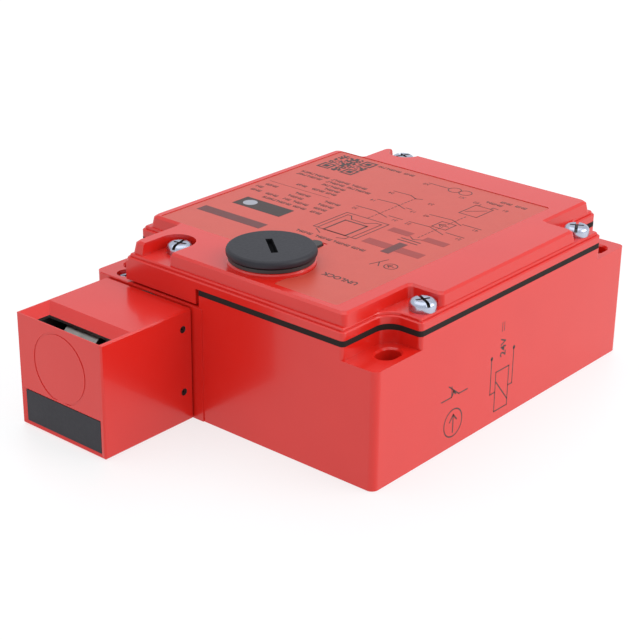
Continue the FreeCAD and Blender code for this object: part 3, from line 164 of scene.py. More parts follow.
# --- print ---
print_thickness = 0.02
print_sink = 0.012
line_width = 0.28
hair_width = 0.25
dash_pitch = 1.5
number_size = 1.9
code_cells = 21
code_patch_place = (48.7, 34.2)
code_patch_size = (13.4, 13.6)
letter_widths = (0.85, 0.7, 0.3, 0.9, 0.65, 0.8, 0.75, 0.95, 0.3, 0.7)
letter_stem = 0.3
letter_bar = 0.36
letter_bar_rise = 0.36
letter_end = 0.25
letter_gap = 0.27
narrow_letter = 0.4
wide_letter = 0.8

# --- studio floor, metres ---
floor_size = 6.0
floor_drop = 0.0002


# --- finishes ---
class Value:
    """A socket in a finish, so that shader sums are written as plain expressions."""

    def __init__(self, finish, socket):
        self.finish = finish
        self.socket = socket

    def sum_with(self, operation, first, second):
        return self.finish.node("ShaderNodeMath", {"operation": operation}, {0: first, 1: second})

    def __add__(self, other):
        return self.sum_with("ADD", self, other)

    def __mul__(self, other):
        return self.sum_with("MULTIPLY", self, other)

    __radd__ = __add__
    __rmul__ = __mul__


class Finish:
    """One surface finish: a Principled shader with its own small set of nodes."""

    def __init__(self, name, **constants):
        self.material = bpy.data.materials.new(name)
        self.material.use_nodes = True
        self.tree = self.material.node_tree
        self.tree.nodes.clear()
        self.shader = self.tree.nodes.new("ShaderNodeBsdfPrincipled")
        output = self.tree.nodes.new("ShaderNodeOutputMaterial")
        self.tree.links.new(self.shader.outputs[0], output.inputs[0])
        for key, value in constants.items():
            self.shader.inputs[key.replace("_", " ")].default_value = value

    def fill(self, socket, value):
        if isinstance(value, Value):
            self.tree.links.new(value.socket, socket)
        else:
            socket.default_value = value

    def node(self, kind, settings=None, inputs=None, output=0):
        made = self.tree.nodes.new(kind)
        for key, value in (settings or {}).items():
            setattr(made, key, value)
        for key, value in (inputs or {}).items():
            self.fill(made.inputs[key], value)
        return Value(self, made.outputs[output])

    def set(self, key, value):
        self.fill(self.shader.inputs[key], value)

    def place(self):
        return self.node("ShaderNodeTexCoord", output="Object")

    def cloud(self, scale, detail=3.0, stretch=(1, 1, 1)):
        spot = self.node("ShaderNodeMapping", {}, {"Vector": self.place(), "Scale": stretch})
        return self.node("ShaderNodeTexNoise", {}, {"Vector": spot, "Scale": scale, "Detail": detail})

    def blend(self, amount, first, second):
        return self.node("ShaderNodeMix", {"data_type": "RGBA"}, {0: amount, 6: first, 7: second}, output=2)

    def bump(self, height, strength, distance):
        self.set("Normal", self.node("ShaderNodeBump", {}, {
            "Height": height, "Strength": strength, "Distance": distance}))


def shade(red, green, blue):
    return (red, green, blue, 1.0)


def lacquer():
    finish = Finish("red_paint", Coat_Weight=0.25, Coat_Roughness=0.08, IOR=1.48)
    tone = finish.cloud(45, 2)
    finish.set("Base Color", finish.blend(tone, shade(0.62, 0.012, 0.007), shade(0.69, 0.016, 0.009)))
    peel = finish.cloud(900, 2)
    drift = finish.cloud(60, 3)
    finish.set("Roughness", 0.225 + drift * 0.05)
    finish.bump(peel, 0.05, 0.00006)
    return finish.material


def film():
    finish = Finish("label_film", Coat_Weight=0.15, Coat_Roughness=0.3)
    fibre = finish.cloud(260, 4)
    finish.set("Base Color", finish.blend(fibre, shade(0.53, 0.052, 0.030), shade(0.58, 0.064, 0.037)))
    grain = finish.cloud(2200, 3)
    finish.set("Roughness", 0.34 + grain * 0.12)
    finish.bump(grain, 0.1, 0.00005)
    return finish.material


def moulded(name, dark, light, roughness, grain_scale, strength, shine=0.4):
    finish = Finish(name, Specular_IOR_Level=shine)
    patch = finish.cloud(70, 3)
    grain = finish.cloud(grain_scale, 3)
    finish.set("Base Color", finish.blend(patch, shade(*dark), shade(*light)))
    finish.set("Roughness", roughness + grain * 0.14)
    finish.bump(grain, strength, 0.0001)
    return finish.material


def metal(name, dark, light, roughness, stretch=(1, 1, 1), strength=0.05):
    finish = Finish(name, Metallic=1.0)
    stain = finish.cloud(140, 3)
    scratch = finish.cloud(1500, 4, stretch)
    finish.set("Base Color", finish.blend(stain, shade(*dark), shade(*light)))
    finish.set("Roughness", roughness + scratch * 0.16)
    finish.bump(scratch, strength, 0.00008)
    return finish.material


def wound_wire():
    finish = Finish("copper_winding", Metallic=0.9, Coat_Weight=0.4)
    turns = finish.node("ShaderNodeTexWave", {"bands_direction": "X"}, {
        "Vector": finish.place(), "Scale": 480.0, "Distortion": 0.3})
    finish.set("Base Color", finish.blend(turns, shade(0.24, 0.07, 0.025), shade(0.75, 0.27, 0.11)))
    finish.set("Roughness", 0.28 + turns * 0.1)
    finish.bump(turns, 0.5, 0.0002)
    return finish.material


def ink(name, dark, light):
    finish = Finish(name)
    patch = finish.cloud(900, 3)
    finish.set("Base Color", finish.blend(patch, shade(*dark), shade(*light)))
    finish.set("Roughness", 0.4 + patch * 0.15)
    return finish.material


finishes = {
    "red_paint": lacquer(),
    "label_film": film(),
    "black_plastic": moulded("black_plastic", (0.012, 0.011, 0.016), (0.019, 0.017, 0.024), 0.45, 1300, 0.3),
    "black_rubber": moulded("black_rubber", (0.014, 0.009, 0.008), (0.024, 0.016, 0.014), 0.7, 1700, 0.4,
                            0.2),
    # the seal's dark rubber, lightened above the black rubber as a painted highlight
    "seal_rubber_and_highlight": moulded("seal_rubber_and_highlight", (0.030, 0.027, 0.026), (0.046, 0.041, 0.039), 0.4, 1500, 0.2),
    "slot_shadow": moulded("slot_shadow", (0.004, 0.004, 0.005), (0.007, 0.007, 0.008), 0.8, 1500, 0.2, 0.05),
    "white_plastic": moulded("white_plastic", (0.62, 0.61, 0.57), (0.72, 0.71, 0.67), 0.38, 1100, 0.2),
    "grey_plastic": moulded("grey_plastic", (0.13, 0.135, 0.14), (0.18, 0.185, 0.19), 0.45, 1100, 0.25),
    "zinc": metal("zinc", (0.40, 0.43, 0.53), (0.58, 0.61, 0.72), 0.2),
    "worn_steel": metal("worn_steel", (0.10, 0.092, 0.085), (0.46, 0.43, 0.40), 0.3, (0.4, 3, 0.4), 0.6),
    # dark steel: the head pins' own colour, and painted shade inside the screw recesses
    "dark_steel_and_recess_shade": metal("dark_steel_and_recess_shade", (0.05, 0.042, 0.042), (0.10, 0.085, 0.08), 0.4),
    # unpainted casting metal, made dark grey as painted shade for the head's hollow inside
    "bare_casting_and_shade": metal("bare_casting_and_shade", (0.10, 0.10, 0.105), (0.17, 0.17, 0.175), 0.5, (1, 1, 1), 0.2),
    "steel": metal("steel", (0.42, 0.42, 0.42), (0.60, 0.59, 0.57), 0.24, (1, 1, 6)),
    "spring_steel": metal("spring_steel", (0.30, 0.30, 0.31), (0.46, 0.46, 0.47), 0.22),
    "brass": metal("brass", (0.60, 0.40, 0.13), (0.75, 0.54, 0.21), 0.26),
    "plated_steel": metal("plated_steel", (0.50, 0.50, 0.49), (0.60, 0.60, 0.58), 0.3),
    "silver_contact": metal("silver_contact", (0.80, 0.79, 0.76), (0.91, 0.90, 0.88), 0.2),
    "copper_winding": wound_wire(),
    "black_ink": ink("black_ink", (0.022, 0.010, 0.008), (0.045, 0.016, 0.012)),
    "brown_ink": ink("brown_ink", (0.11, 0.022, 0.022), (0.15, 0.028, 0.026)),
    "faded_ink": ink("faded_ink", (0.30, 0.032, 0.026), (0.35, 0.038, 0.030)),
    "pale_ink": ink("pale_ink", (0.30, 0.30, 0.34), (0.37, 0.37, 0.41)),
}

node_finishes = {
    "red_paint": ["housing", "cover", "head_casing"],
    "label_film": ["label"],
    "black_plastic": ["unlock_cap", "slot_plug", "contact_base", "coil_bobbin"],
    "black_rubber": ["cover_gasket", "head_gasket"],
    "seal_rubber_and_highlight": ["cap_seal_strap"],
    "white_plastic": ["contact_slider"],
    "grey_plastic": ["coil_terminal_block"],
    "zinc": ["cover_screws", "head_lock_screw", "contact_base_screws", "solenoid_screws", "spigot_screws",
             "terminal_clamps", "terminal_screws", "coil_terminal_screws", "earth_clamp", "earth_screw"],
    "plated_steel": ["solenoid_yoke", "head_base_plate", "head_spigot"],
    "steel": ["unlock_spindle", "slot_guard", "cam_axle", "plunger", "pole_piece",
              "armature", "armature_pin", "locking_lever", "lever_pivot_pin"],
    "worn_steel": ["cam_rotor"],
    "dark_steel_and_recess_shade": ["head_pins"],
    "spring_steel": ["spindle_circlip"],
    "brass": ["plunger_bush", "fixed_contacts"],
    "silver_contact": ["contact_bridges"],
    "copper_winding": ["coil_winding"],
}
for name, members in node_finishes.items():
    for member in members:
        for material_slot in nodes[member].material_slots:
            material_slot.material = finishes[name]


# --- bench tools ---
def let_go():
    if bpy.context.object and bpy.context.object.mode != "OBJECT":
        bpy.ops.object.mode_set(mode="OBJECT")
    bpy.ops.object.select_all(action="DESELECT")


def hold(piece):
    let_go()
    bpy.context.view_layer.objects.active = piece
    piece.select_set(True)


def edit(piece, kind="VERT"):
    hold(piece)
    bpy.ops.object.mode_set(mode="EDIT")
    bpy.ops.mesh.select_mode(type=kind)
    bpy.ops.mesh.select_all(action="DESELECT")


def done():
    bpy.ops.object.mode_set(mode="OBJECT")


def open_on_faces(piece, wanted):
    """Opens a piece in edit mode with only the wanted faces selected."""
    edit(piece, "FACE")
    done()
    for polygon in piece.data.polygons:
        polygon.select = wanted(polygon)
    bpy.ops.object.mode_set(mode="EDIT")


def faces_down(polygon):
    return polygon.normal.z < -0.9


def rest_at_origin(piece):
    hold(piece)
    bpy.ops.object.transform_apply(location=True, rotation=True, scale=True)


def modify(piece, kind, **settings):
    hold(piece)
    modifier = piece.modifiers.new(kind.lower(), kind)
    for key, value in settings.items():
        setattr(modifier, key, value)
    bpy.ops.object.modifier_apply(modifier=modifier.name)


def coat(piece, finish, body="body"):
    piece.data.materials.clear()
    piece.data.materials.append(finishes[finish])
    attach(piece, body)


def paint_faces(piece, finish, wanted):
    piece.data.materials.append(finishes[finish])
    for polygon in piece.data.polygons:
        polygon.material_index = 1 if wanted(polygon) else 0


def smooth(piece, angle=edge_angle):
    hold(piece)
    bpy.ops.object.shade_smooth_by_angle(angle=math.radians(angle))


def faces_out(piece):
    edit(piece)
    bpy.ops.mesh.select_all(action="SELECT")
    bpy.ops.mesh.remove_doubles(threshold=1e-6)
    bpy.ops.mesh.normals_make_consistent(inside=False)
    done()


def cut_away(piece, cutter):
    modify(piece, "BOOLEAN", operation="DIFFERENCE", object=cutter, solver="EXACT")
    bpy.data.objects.remove(cutter)


def copy_of(piece, name):
    twin = piece.copy()
    twin.data = piece.data.copy()
    twin.name = name
    bpy.context.scene.collection.objects.link(twin)
    return twin


def merged_copy(node):
    """A copy of a solid's mesh with its loose triangles joined and its flat faces whole."""
    twin = copy_of(nodes[node], node + "_dressed")
    twin.parent = None
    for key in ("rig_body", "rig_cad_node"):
        if key in twin:
            del twin[key]
    hold(twin)
    bpy.ops.mesh.customdata_custom_splitnormals_clear()
    edit(twin)
    bpy.ops.mesh.select_all(action="SELECT")
    bpy.ops.mesh.remove_doubles(threshold=1e-6)
    bpy.ops.mesh.dissolve_limited(angle_limit=math.radians(flat_angle))
    done()
    return twin


def soften(piece, width):
    modify(piece, "BEVEL", width=width * mm, segments=3, limit_method="ANGLE",
           angle_limit=math.radians(edge_angle), use_clamp_overlap=True)
    smooth(piece)
    modify(piece, "WEIGHTED_NORMAL", mode="FACE_AREA", weight=100, keep_sharp=True)


def dress(node, width, finish, body="body"):
    piece = merged_copy(node)
    soften(piece, width)
    coat(piece, finish, body=body)
    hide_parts(node)
    return piece


# --- springs: copies of the solids in spring steel, the armature spring held on the body ---
def fresh_spring(node):
    spring = merged_copy(node)
    smooth(spring)
    spring.data.materials.clear()
    spring.data.materials.append(finishes["spring_steel"])
    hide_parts(node)
    return spring


def make_pressed_spring(node):
    spring = fresh_spring(node)
    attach(spring, "body")
    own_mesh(spring)


def make_stretched_spring(node):
    spring = fresh_spring(node)
    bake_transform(spring)


make_pressed_spring("armature_spring")
make_stretched_spring("plunger_spring")
make_stretched_spring("slider_spring")


# --- castings with broken edges ---
def entry_cutter(y):
    length = entry_thread_length + cutter_overshoot
    middle = body_back + cutter_overshoot - length / 2
    let_go()
    bpy.ops.mesh.primitive_cylinder_add(
        vertices=64, radius=(entry_radius + thread_depth) * mm, depth=length * mm,
        location=(middle * mm, y * mm, entry_height * mm), rotation=(0, math.pi / 2, 0))
    return bpy.context.object


def make_housing():
    casting = merged_copy("housing")
    for side in (-1, 1):
        cut_away(casting, entry_cutter(side * entry_spacing / 2))
    soften(casting, housing_edge)
    coat(casting, "red_paint")
    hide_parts("housing")


def make_entry_thread(name, y):
    let_go()
    bpy.ops.mesh.primitive_circle_add(
        vertices=3, radius=thread_depth * mm, fill_type="NOTHING",
        location=(0, (entry_radius + thread_depth * thread_seat_share) * mm, 0), rotation=(0, math.pi / 2, 0))
    ridge = bpy.context.object
    ridge.name = name
    rest_at_origin(ridge)
    turns = int((entry_thread_length - thread_run_out) / thread_pitch)
    modify(ridge, "SCREW", axis="X", screw_offset=thread_pitch * mm, iterations=turns, steps=48,
           render_steps=48, use_smooth_shade=True, use_merge_vertices=True)
    edit(ridge, "EDGE")
    bpy.ops.mesh.select_non_manifold()
    bpy.ops.mesh.edge_face_add()
    done()
    ridge.location = ((body_back - entry_thread_length + thread_start) * mm, y * mm, entry_height * mm)
    rest_at_origin(ridge)
    faces_out(ridge)
    coat(ridge, "red_paint")


# faces of the head's hollow inside, which get the dark bare metal as painted shade
def inside_head(polygon):
    middle = polygon.center
    along = head_low.x + head_front_wall * mm < middle.x < head_high.x - head_back_wall * mm
    across = head_low.y + head_side_wall * mm < middle.y < head_high.y - head_side_wall * mm
    below = head_low.z + head_floor_skin * mm < middle.z < head_high.z - head_roof * mm
    return along and across and below


def inside_cap_slot(polygon):
    reach = math.hypot(polygon.center.x / mm - cap_x, polygon.center.y / mm - cap_y)
    depth = (cap_high.z - polygon.center.z) / mm
    return reach < cap_slot_reach and cap_slot_skin < depth < cap_slot_depth


make_housing()
make_entry_thread("entry_thread_near", -entry_spacing / 2)
make_entry_thread("entry_thread_far", entry_spacing / 2)
dress("cover", casting_edge, "red_paint")
# inside of the head casting: unpainted metal, darkened as painted shade
paint_faces(dress("head_casing", casting_edge, "red_paint"), "bare_casting_and_shade", inside_head)
paint_faces(dress("unlock_cap", cap_edge, "black_plastic", "cap"), "slot_shadow", inside_cap_slot)
# the strap's rubber: partly its own dark grey, partly a painted highlight
dress("cap_seal_strap", strap_edge, "seal_rubber_and_highlight")
dress("cover_gasket", gasket_edge, "black_rubber")
dress("slot_plug", plug_edge, "black_plastic")
dress("label", film_edge, "label_film")


# --- screws with a slot and a cross recess ---
def recess_cutter(length, width, top, depth):
    let_go()
    bpy.ops.mesh.primitive_cube_add(size=1, location=(0, 0, (top - depth / 2 + cutter_overshoot / 2) * mm))
    cutter = bpy.context.object
    cutter.scale = (length * mm, width * mm, (depth + cutter_overshoot) * mm)
    rest_at_origin(cutter)
    return cutter


def slot_cutter(radius, height):
    return recess_cutter(radius * slot_length_share, radius * slot_width_share, height,
                         height * slot_depth_share)


def cross_cutter(radius, height):
    cutter = recess_cutter(radius * cross_width_share, radius * cross_length_share, height,
                           height * cross_depth_share)
    open_on_faces(cutter, faces_down)
    bpy.ops.transform.resize(value=cross_foot)
    done()
    return cutter


def round_the_top(screw, height):
    edit(screw, "EDGE")
    done()
    for edge in screw.data.edges:
        ends = [screw.data.vertices[index].co.z for index in edge.vertices]
        edge.select = min(ends) > height * 0.99 * mm
    bpy.ops.object.mode_set(mode="EDIT")
    bpy.ops.mesh.bevel(offset=height * dome_share * mm, segments=6, profile=0.5)
    done()


def draw_out_shank(screw, radius, shank_radius, length):
    tip = shank_radius * screw_tip_share
    open_on_faces(screw, faces_down)
    bpy.ops.mesh.inset(thickness=(radius - shank_radius) * mm)
    for step in (length - tip, tip):
        bpy.ops.mesh.extrude_region_move(TRANSFORM_OT_translate={"value": (0, 0, -step * mm)})
    bpy.ops.transform.resize(value=(screw_tip_share, screw_tip_share, 1))
    done()


def make_screw(name, radius, height, shank_radius):
    let_go()
    bpy.ops.mesh.primitive_cylinder_add(vertices=48, radius=radius * mm, depth=height * mm,
                                        location=(0, 0, height / 2 * mm))
    screw = bpy.context.object
    screw.name = name
    rest_at_origin(screw)
    round_the_top(screw, height)
    draw_out_shank(screw, radius, shank_radius, screw_length)
    cut_away(screw, slot_cutter(radius, height))
    cut_away(screw, cross_cutter(radius, height))
    modify(screw, "BEVEL", width=screw_edge * mm, segments=2, limit_method="ANGLE",
           angle_limit=math.radians(screw_edge_angle))
    smooth(screw, screw_smooth_angle)
    return screw


def seat_screw(model, name, x, y, z, turn, radius, height):
    # the recess walls and floor, which are painted dark as painted shade
    def inside_recess(polygon):
        level = polygon.center.z / mm - z
        reach = math.hypot(polygon.center.x / mm - x, polygon.center.y / mm - y) / radius
        walled = abs(polygon.normal.z) < 0.25 and 0 < level and reach < recess_reach_share
        floored = polygon.normal.z > 0.9 and 0 < level < height * recess_floor_share
        return walled or floored

    screw = copy_of(model, name)
    screw.rotation_euler = (0, 0, math.radians(turn))
    screw.location = (x * mm, y * mm, z * mm)
    rest_at_origin(screw)
    coat(screw, "zinc")
    # painted shade: the recess faces get the dark steel
    paint_faces(screw, "dark_steel_and_recess_shade", inside_recess)
    return screw


cover_screw_spots = [
    (body_front + front_screw_inset, screws_low.y / mm + screw_head_radius, 62),
    (body_back - back_screw_inset, screws_low.y / mm + screw_head_radius, 28),
    (screws_low.x / mm + screw_head_radius, screws_high.y / mm - screw_head_radius - far_screw_step, 15),
    (screws_high.x / mm - screw_head_radius, screws_high.y / mm - screw_head_radius, -20)]
screw_seat = screws_high.z / mm - screw_head_height
cover_screw = make_screw("cover_screw_model", screw_head_radius, screw_head_height, screw_shank_radius)
for index, (x, y, turn) in enumerate(cover_screw_spots):
    seated = seat_screw(cover_screw, "cover_screw_%d" % (index + 1), x, y, screw_seat, turn,
                        screw_head_radius, screw_head_height)
    if index == 0:
        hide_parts("cover_screws")
bpy.data.objects.remove(cover_screw)

lock_radius = (lock_high.x - lock_low.x) / 2 / mm
lock_screw = make_screw("lock_screw_model", lock_radius, lock_screw_height, lock_shank_radius)
seated = seat_screw(lock_screw, "head_lock_screw_dressed", (lock_low.x + lock_high.x) / 2 / mm,
                    (lock_low.y + lock_high.y) / 2 / mm, lock_high.z / mm - lock_screw_height, 35,
                    lock_radius, lock_screw_height)
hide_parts("head_lock_screw")
bpy.data.objects.remove(lock_screw)


# --- printed marks ---
def start_print(name):
    let_go()
    bpy.ops.mesh.primitive_plane_add(size=1 * mm, location=(0, 0, 0))
    sheet = bpy.context.object
    sheet.name = name
    edit(sheet, "FACE")
    bpy.ops.mesh.select_all(action="SELECT")
    bpy.ops.mesh.delete(type="VERT")
    bpy.ops.mesh.select_mode(type="VERT")
    return sheet


def patch(x0, x1, y0, y1):
    bpy.ops.mesh.select_all(action="DESELECT")
    middle = ((x0 + x1) / 2 * mm, (y0 + y1) / 2 * mm, 0)
    bpy.ops.mesh.primitive_plane_add(size=1 * mm, location=middle)
    bpy.ops.transform.resize(value=(abs(x1 - x0), abs(y1 - y0), 1), center_override=middle)


def stroke(x0, y0, x1, y1, width=line_width):
    length = math.hypot(x1 - x0, y1 - y0)
    ahead = Vector((x1 - x0, y1 - y0, 0)) / length
    middle = ((x0 + x1) / 2 * mm, (y0 + y1) / 2 * mm, 0)
    bpy.ops.mesh.select_all(action="DESELECT")
    bpy.ops.mesh.primitive_plane_add(size=1 * mm, location=middle,
                                     rotation=(0, 0, math.atan2(ahead.y, ahead.x)))
    bpy.ops.transform.resize(
        value=(length + width, width, 1), center_override=middle,
        orient_type="GLOBAL", orient_matrix_type="GLOBAL",
        orient_matrix=((ahead.x, ahead.y, 0), (-ahead.y, ahead.x, 0), (0, 0, 1)))


def path(points, width=line_width):
    for (x0, y0), (x1, y1) in zip(points, points[1:]):
        stroke(x0, y0, x1, y1, width)


def dashes(x0, x1, y):
    for index in range(int((x1 - x0) / dash_pitch)):
        start = x0 + index * dash_pitch
        stroke(start, y, start + dash_pitch * 0.5, y, hair_width)


def frame_mark(x0, x1, y0, y1, width=line_width):
    path([(x0, y0), (x1, y0), (x1, y1), (x0, y1), (x0, y0)], width)


def ring_mark(x, y, radius, width=line_width):
    bpy.ops.mesh.select_all(action="DESELECT")
    bpy.ops.mesh.primitive_circle_add(vertices=40, radius=(radius + width / 2) * mm, fill_type="NGON",
                                      location=(x * mm, y * mm, 0))
    bpy.ops.mesh.inset(thickness=width * mm)
    bpy.ops.mesh.delete(type="ONLY_FACE")
    bpy.ops.mesh.select_all(action="DESELECT")


def dot_mark(x, y, radius):
    bpy.ops.mesh.select_all(action="DESELECT")
    bpy.ops.mesh.primitive_circle_add(vertices=32, radius=radius * mm, fill_type="NGON",
                                      location=(x * mm, y * mm, 0))


def small_print(x, y0, y1, height=1.35):
    """A word of print too small to read: an upright, then a short bar and an end for the wider letters."""
    y = y0
    for index, width in enumerate(cycle(letter_widths)):
        if y + width > y1:
            break
        patch(x - height / 2, x + height / 2, y, y + letter_stem)
        if width > narrow_letter:
            level = x + height * letter_bar_rise * (index % 3 - 1)
            patch(level - letter_bar / 2, level + letter_bar / 2, y + letter_stem, y + width)
        if width > wide_letter:
            patch(x - height / 2, x + height / 2, y + width - letter_end, y + width)
        y += width + letter_gap


def end_print(sheet, finish, lift=0.0, side=False):
    done()
    sheet.data.update()
    modify(sheet, "SOLIDIFY", thickness=print_thickness * mm, offset=1)
    if side:
        sheet.rotation_euler = (math.pi / 2, 0, 0)
        sheet.location = (0, (near + print_sink) * mm, 0)
    else:
        sheet.location = (0, 0, (label_top + lift) * mm)
    rest_at_origin(sheet)
    coat(sheet, finish)


def word(name, text, x, y, size, side=False, bold=0.0):
    let_go()
    bpy.ops.object.text_add(location=(0, 0, 0))
    letters = bpy.context.object
    letters.name = name
    letters.data.body = text
    letters.data.size = size * mm
    letters.data.extrude = print_thickness / 2 * mm
    letters.data.offset = bold * mm
    bpy.ops.object.convert(target="MESH")
    letters = bpy.context.object
    letters.rotation_euler = (0, 0, math.pi / 2)
    rest_at_origin(letters)
    if side:
        letters.rotation_euler = (math.pi / 2, 0, 0)
        letters.location = (x * mm, (near + print_sink - print_thickness / 2) * mm, y * mm)
    else:
        letters.location = (x * mm, y * mm, (label_top + print_thickness / 2) * mm)
    rest_at_origin(letters)
    coat(letters, "black_ink")


def code_cell(column, row):
    """Whether a cell of the made-up code patch is filled: three corner eyes, the rest by a sum."""
    corner_columns = (3, code_cells - 4, 3)
    corner_rows = (3, 3, code_cells - 4)
    for corner_column, corner_row in zip(corner_columns, corner_rows):
        reach = max(abs(column - corner_column), abs(row - corner_row))
        if reach <= 4:
            return reach in (0, 1, 3)
    return (column * column * 3 + row * row * 5 + column * row * 7 + row) % 11 < 6


def blank_cell(polygon):
    column = int((polygon.center.x / mm + 0.5) * code_cells)
    row = int((polygon.center.y / mm + 0.5) * code_cells)
    return not code_cell(column, row)


def make_code_patch():
    let_go()
    bpy.ops.mesh.primitive_plane_add(size=1 * mm, location=(0, 0, 0))
    sheet = bpy.context.object
    sheet.name = "print_code_patch"
    edit(sheet, "FACE")
    bpy.ops.mesh.select_all(action="SELECT")
    bpy.ops.mesh.subdivide(number_cuts=code_cells - 1)
    open_on_faces(sheet, blank_cell)
    bpy.ops.mesh.delete(type="FACE")
    done()
    sheet.scale = (*code_patch_size, 1)
    sheet.location = (code_patch_place[0] * mm, code_patch_place[1] * mm, 0)
    rest_at_origin(sheet)
    bpy.ops.object.mode_set(mode="EDIT")
    end_print(sheet, "black_ink")


make_code_patch()

panel = start_print("print_name_panel")
patch(0.9, 7.5, 19.4, 37.1)
end_print(panel, "black_ink")
spot = start_print("print_pale_spot")
dot_mark(4.3, 33.2, 2.1)
end_print(spot, "pale_ink", lift=print_thickness)
strip = start_print("print_top_strip")
patch(-9.6, -5.7, 17.4, 40.9)
patch(-0.6, 8.0, -20.4, -17.6)
end_print(strip, "brown_ink")

rows = start_print("print_small_rows")
for x, words in (
        (10.5, ((12.3, 16.7), (18.0, 23.1), (23.4, 34.8))),
        (13.4, ((12.8, 18.0), (19.6, 25.7), (26.2, 28.6), (31.0, 35.8), (37.5, 41.8))),
        (16.4, ((12.8, 18.8), (24.1, 30.4), (39.4, 41.8))),
        (19.4, ((12.8, 18.8), (23.9, 30.4), (36.4, 41.8))),
        (25.3, ((19.1, 22.8), (23.6, 28.8), (30.3, 34.0))),
        (27.8, ((20.0, 26.3), )),
        (30.3, ((20.0, 28.8), )),
        (33.0, ((12.8, 21.7), (22.5, 29.5), (31.2, 41.0))),
        (35.4, ((16.0, 21.7), (22.5, 29.5), (30.3, 40.8))),
        (54.2, ((13.0, 16.7), (18.0, 26.9))),
        (-3.1, ((-14.5, -9.8), (-9.2, -3.6), (-3.0, 3.2), (3.8, 9.6))),
        (52.7, ((-28.0, -23.6), (-23.0, -19.3))),
        (50.0, ((-21.6, -15.6), ))):
    for start, end in words:
        small_print(x, start, end)
stroke(22.2, 19.0, 22.2, 41.8, 0.14)
end_print(rows, "black_ink")

guard = start_print("print_guard_frames")
frame_mark(2.1, 16.6, -7.1, 7.7)
frame_mark(2.1, 11.5, -3.5, 4.1, 0.5)
path([(2.5, -5.6), (15.2, -5.6), (15.2, -4.1), (13.0, -1.4), (13.0, 3.2), (15.2, 5.0), (15.2, 6.3),
      (2.5, 6.3)])
path([(1.6, -5.0), (0.3, -5.0), (-0.6, -2.7)])
path([(-0.6, 3.2), (1.2, 5.9)])
end_print(guard, "black_ink")

tongue_sign = start_print("print_tongue_sign")
for x0, x1, y0, y1 in ((1.8, 5.3, -28.4, -20.5), (1.8, 5.4, -17.5, -9.3), (13.0, 16.0, -28.4, -20.9),
                       (13.0, 16.0, -16.5, -9.3)):
    patch(x0, x1, y0, y1)
end_print(tongue_sign, "faded_ink")

contacts = start_print("print_contact_lines")
path([(9.6, -22.0), (9.6, -15.8)], 0.4)
path([(11.1, -22.0), (11.1, -15.8)], 0.4)
path([(13.4, -20.9), (12.1, -18.9), (13.4, -16.9)])
dashes(14.2, 37.2, -19.0)
dashes(17.0, 39.6, 0.5)
for points in (
        [(22.2, -28.4), (22.2, -22.4)], [(20.4, -22.6), (22.9, -16.4), (22.4, -9.6)],
        [(22.3, -7.3), (22.3, -2.7)], [(20.9, -2.9), (22.9, 2.7), (22.6, 9.2)],
        [(30.4, -28.2), (30.4, -22.0)], [(29.4, -22.2), (31.4, -17.8), (30.8, -10.5)],
        [(30.6, -4.2), (30.6, -2.3)], [(29.6, -2.5), (31.4, 1.8), (30.9, 8.2)],
        [(39.3, -1.4), (38.4, 0.3), (39.9, 3.2), (39.6, 9.2)],
        [(43.8, -20.7), (39.6, -16.3)], [(45.7, -20.6), (47.0, -20.6), (47.0, -22.2)],
        [(45.7, -16.4), (47.0, -16.4)], [(52.2, -1.3), (52.2, 5.9)],
        [(-7.2, -27.4), (-7.2, -25.6)], [(-8.0, -26.4), (-7.2, -25.5), (-6.4, -26.4)],
        [(-8.9, -23.7), (-6.6, -22.3)], [(-9.4, -21.3), (-3.9, -23.1)],
        [(26.1, -20.3), (26.1, -17.3)], [(24.9, -18.4), (26.1, -17.2), (27.3, -18.4)]):
    path(points)
frame_mark(23.7, 28.6, -21.1, -16.4)
frame_mark(37.5, 45.7, -21.6, -15.6)
ring_mark(52.1, -7.3, 1.9)
ring_mark(52.1, -3.5, 1.9)
ring_mark(-7.2, -26.5, 1.8)
end_print(contacts, "black_ink")

word("print_unlock", "UNLOCK", -21.3, -27.6, 2.7, bold=0.05)
for name, text, x, y in (
        ("print_number_1", "21", 21.2, -28.6), ("print_number_2", "22", 21.4, -11.4),
        ("print_number_3", "31", 21.2, -6.9), ("print_number_4", "32", 21.4, 7.4),
        ("print_number_5", "41", 29.6, -28.2), ("print_number_6", "42", 29.8, -11.4),
        ("print_number_7", "13", 30.0, -6.7), ("print_number_8", "14", 30.0, 7.7),
        ("print_number_9", "23", 38.4, -6.6), ("print_number_10", "24", 38.4, 7.7),
        ("print_number_11", "E1", 48.0, -25.4), ("print_number_12", "E2", 48.0, -15.4),
        ("print_number_13", "X1", 49.0, -9.9), ("print_number_14", "X2", 51.4, 4.7)):
    word(name, text, x, y, number_size)

side_marks = start_print("print_side_symbols")
ring_mark(-8.2, 6.9, 3.9, 0.36)
path([(-8.2, 4.2), (-8.2, 9.0)], 0.42)
path([(-9.7, 7.5), (-8.2, 9.2), (-6.7, 7.5)], 0.42)
path([(-13.6, 14.6), (-9.3, 14.6), (-9.3, 17.6)], 0.34)
path([(-10.6, 18.0), (-6.2, 14.6), (-2.5, 14.6)], 0.34)
path([(-9.0, 15.0), (-8.6, 16.1), (-7.6, 15.1)], 0.5)
frame_mark(10.4, 16.4, 3.0, 14.6, 0.34)
path([(10.7, 11.6), (16.3, 4.9)], 0.34)
path([(10.4, 8.8), (8.1, 8.8), (8.1, 19.2)], 0.34)
path([(16.4, 8.8), (18.3, 8.8), (18.3, 19.2)], 0.34)
dot_mark(8.1, 19.3, 0.55)
dot_mark(18.3, 19.3, 0.55)
path([(12.3, 25.9), (12.3, 28.3)], hair_width)
for start, end in ((25.9, 26.5), (26.8, 27.4), (27.7, 28.3)):
    path([(13.2, start), (13.2, end)], hair_width)
end_print(side_marks, "black_ink", side=True)
word("print_volts", "24V", 14.3, 18.3, 3.4, side=True, bold=0.06)


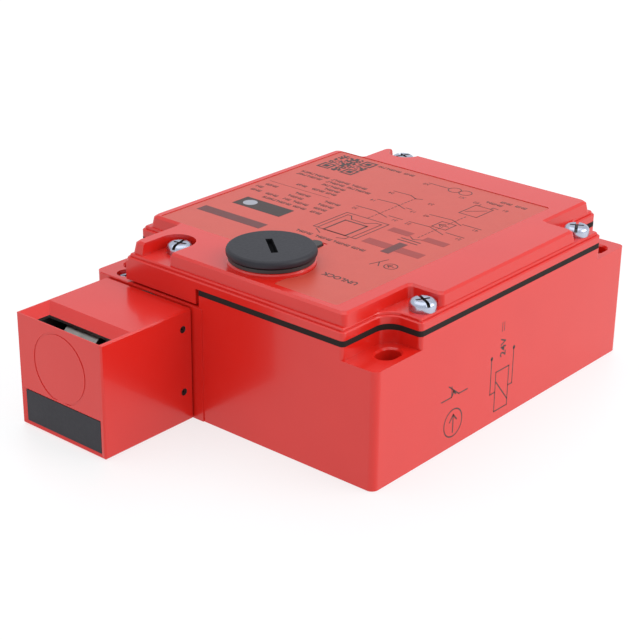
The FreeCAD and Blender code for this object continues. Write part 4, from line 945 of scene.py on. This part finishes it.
# --- studio ---
let_go()
bpy.ops.mesh.primitive_plane_add(size=floor_size, location=(0, 0, cad_low.z - floor_drop))
floor = bpy.context.object
floor.name = "studio_floor"
paper = Finish("studio_floor", Roughness=0.5, Emission_Strength=0.72)
tint = paper.cloud(3, 2)
paper.set("Base Color", paper.blend(tint, shade(0.22, 0.22, 0.22), shade(0.24, 0.24, 0.24)))
paper.set("Emission Color", shade(1.0, 1.0, 1.0))
floor.data.materials.append(paper.material)


def softbox(name, place, aim, size, power):
    lamp = bpy.data.lights.new(name, "AREA")
    lamp.shape = "RECTANGLE"
    lamp.size, lamp.size_y = size
    lamp.energy = power
    box = bpy.data.objects.new(name, lamp)
    bpy.context.scene.collection.objects.link(box)
    box.location = place
    box.rotation_mode = "QUATERNION"
    box.rotation_quaternion = (Vector(aim) - Vector(place)).to_track_quat("-Z", "Y")


softbox("key_softbox", (0.55, -1.10, 0.75), (0, 0, 0.02), (1.2, 0.9), 9.0)
softbox("top_softbox", (0.0, 0.2, 1.3), (0, 0, 0.02), (1.6, 1.6), 7.0)
world = bpy.context.scene.world or bpy.data.worlds.new("studio_world")
bpy.context.scene.world = world
world.use_nodes = True
sky = next(node for node in world.node_tree.nodes if node.type == "BACKGROUND")
sky.inputs["Color"].default_value = (0.90, 0.95, 1.0, 1.0)
sky.inputs["Strength"].default_value = 0.85

azimuth = math.radians(-49.845)
elevation = math.radians(23.804)
roll = math.radians(0.758)
view_distance = 448.98
away = Vector((math.sin(azimuth) * math.cos(elevation), -math.cos(azimuth) * math.cos(elevation),
               math.sin(elevation)))
aim = Vector((-3.94, -0.17, 20.0)) * mm
lens = bpy.data.cameras.new("studio_camera")
lens.lens = 92.23
lens.sensor_width = 36.0
lens.clip_start = 0.01
camera = bpy.data.objects.new("studio_camera", lens)
bpy.context.scene.collection.objects.link(camera)
camera.location = aim + away * view_distance * mm
camera.rotation_mode = "QUATERNION"
camera.rotation_quaternion = (-away).to_track_quat("-Z", "Y") @ Quaternion((0, 0, 1), roll)
bpy.context.scene.camera = camera
bpy.context.scene.view_settings.view_transform = "Standard"
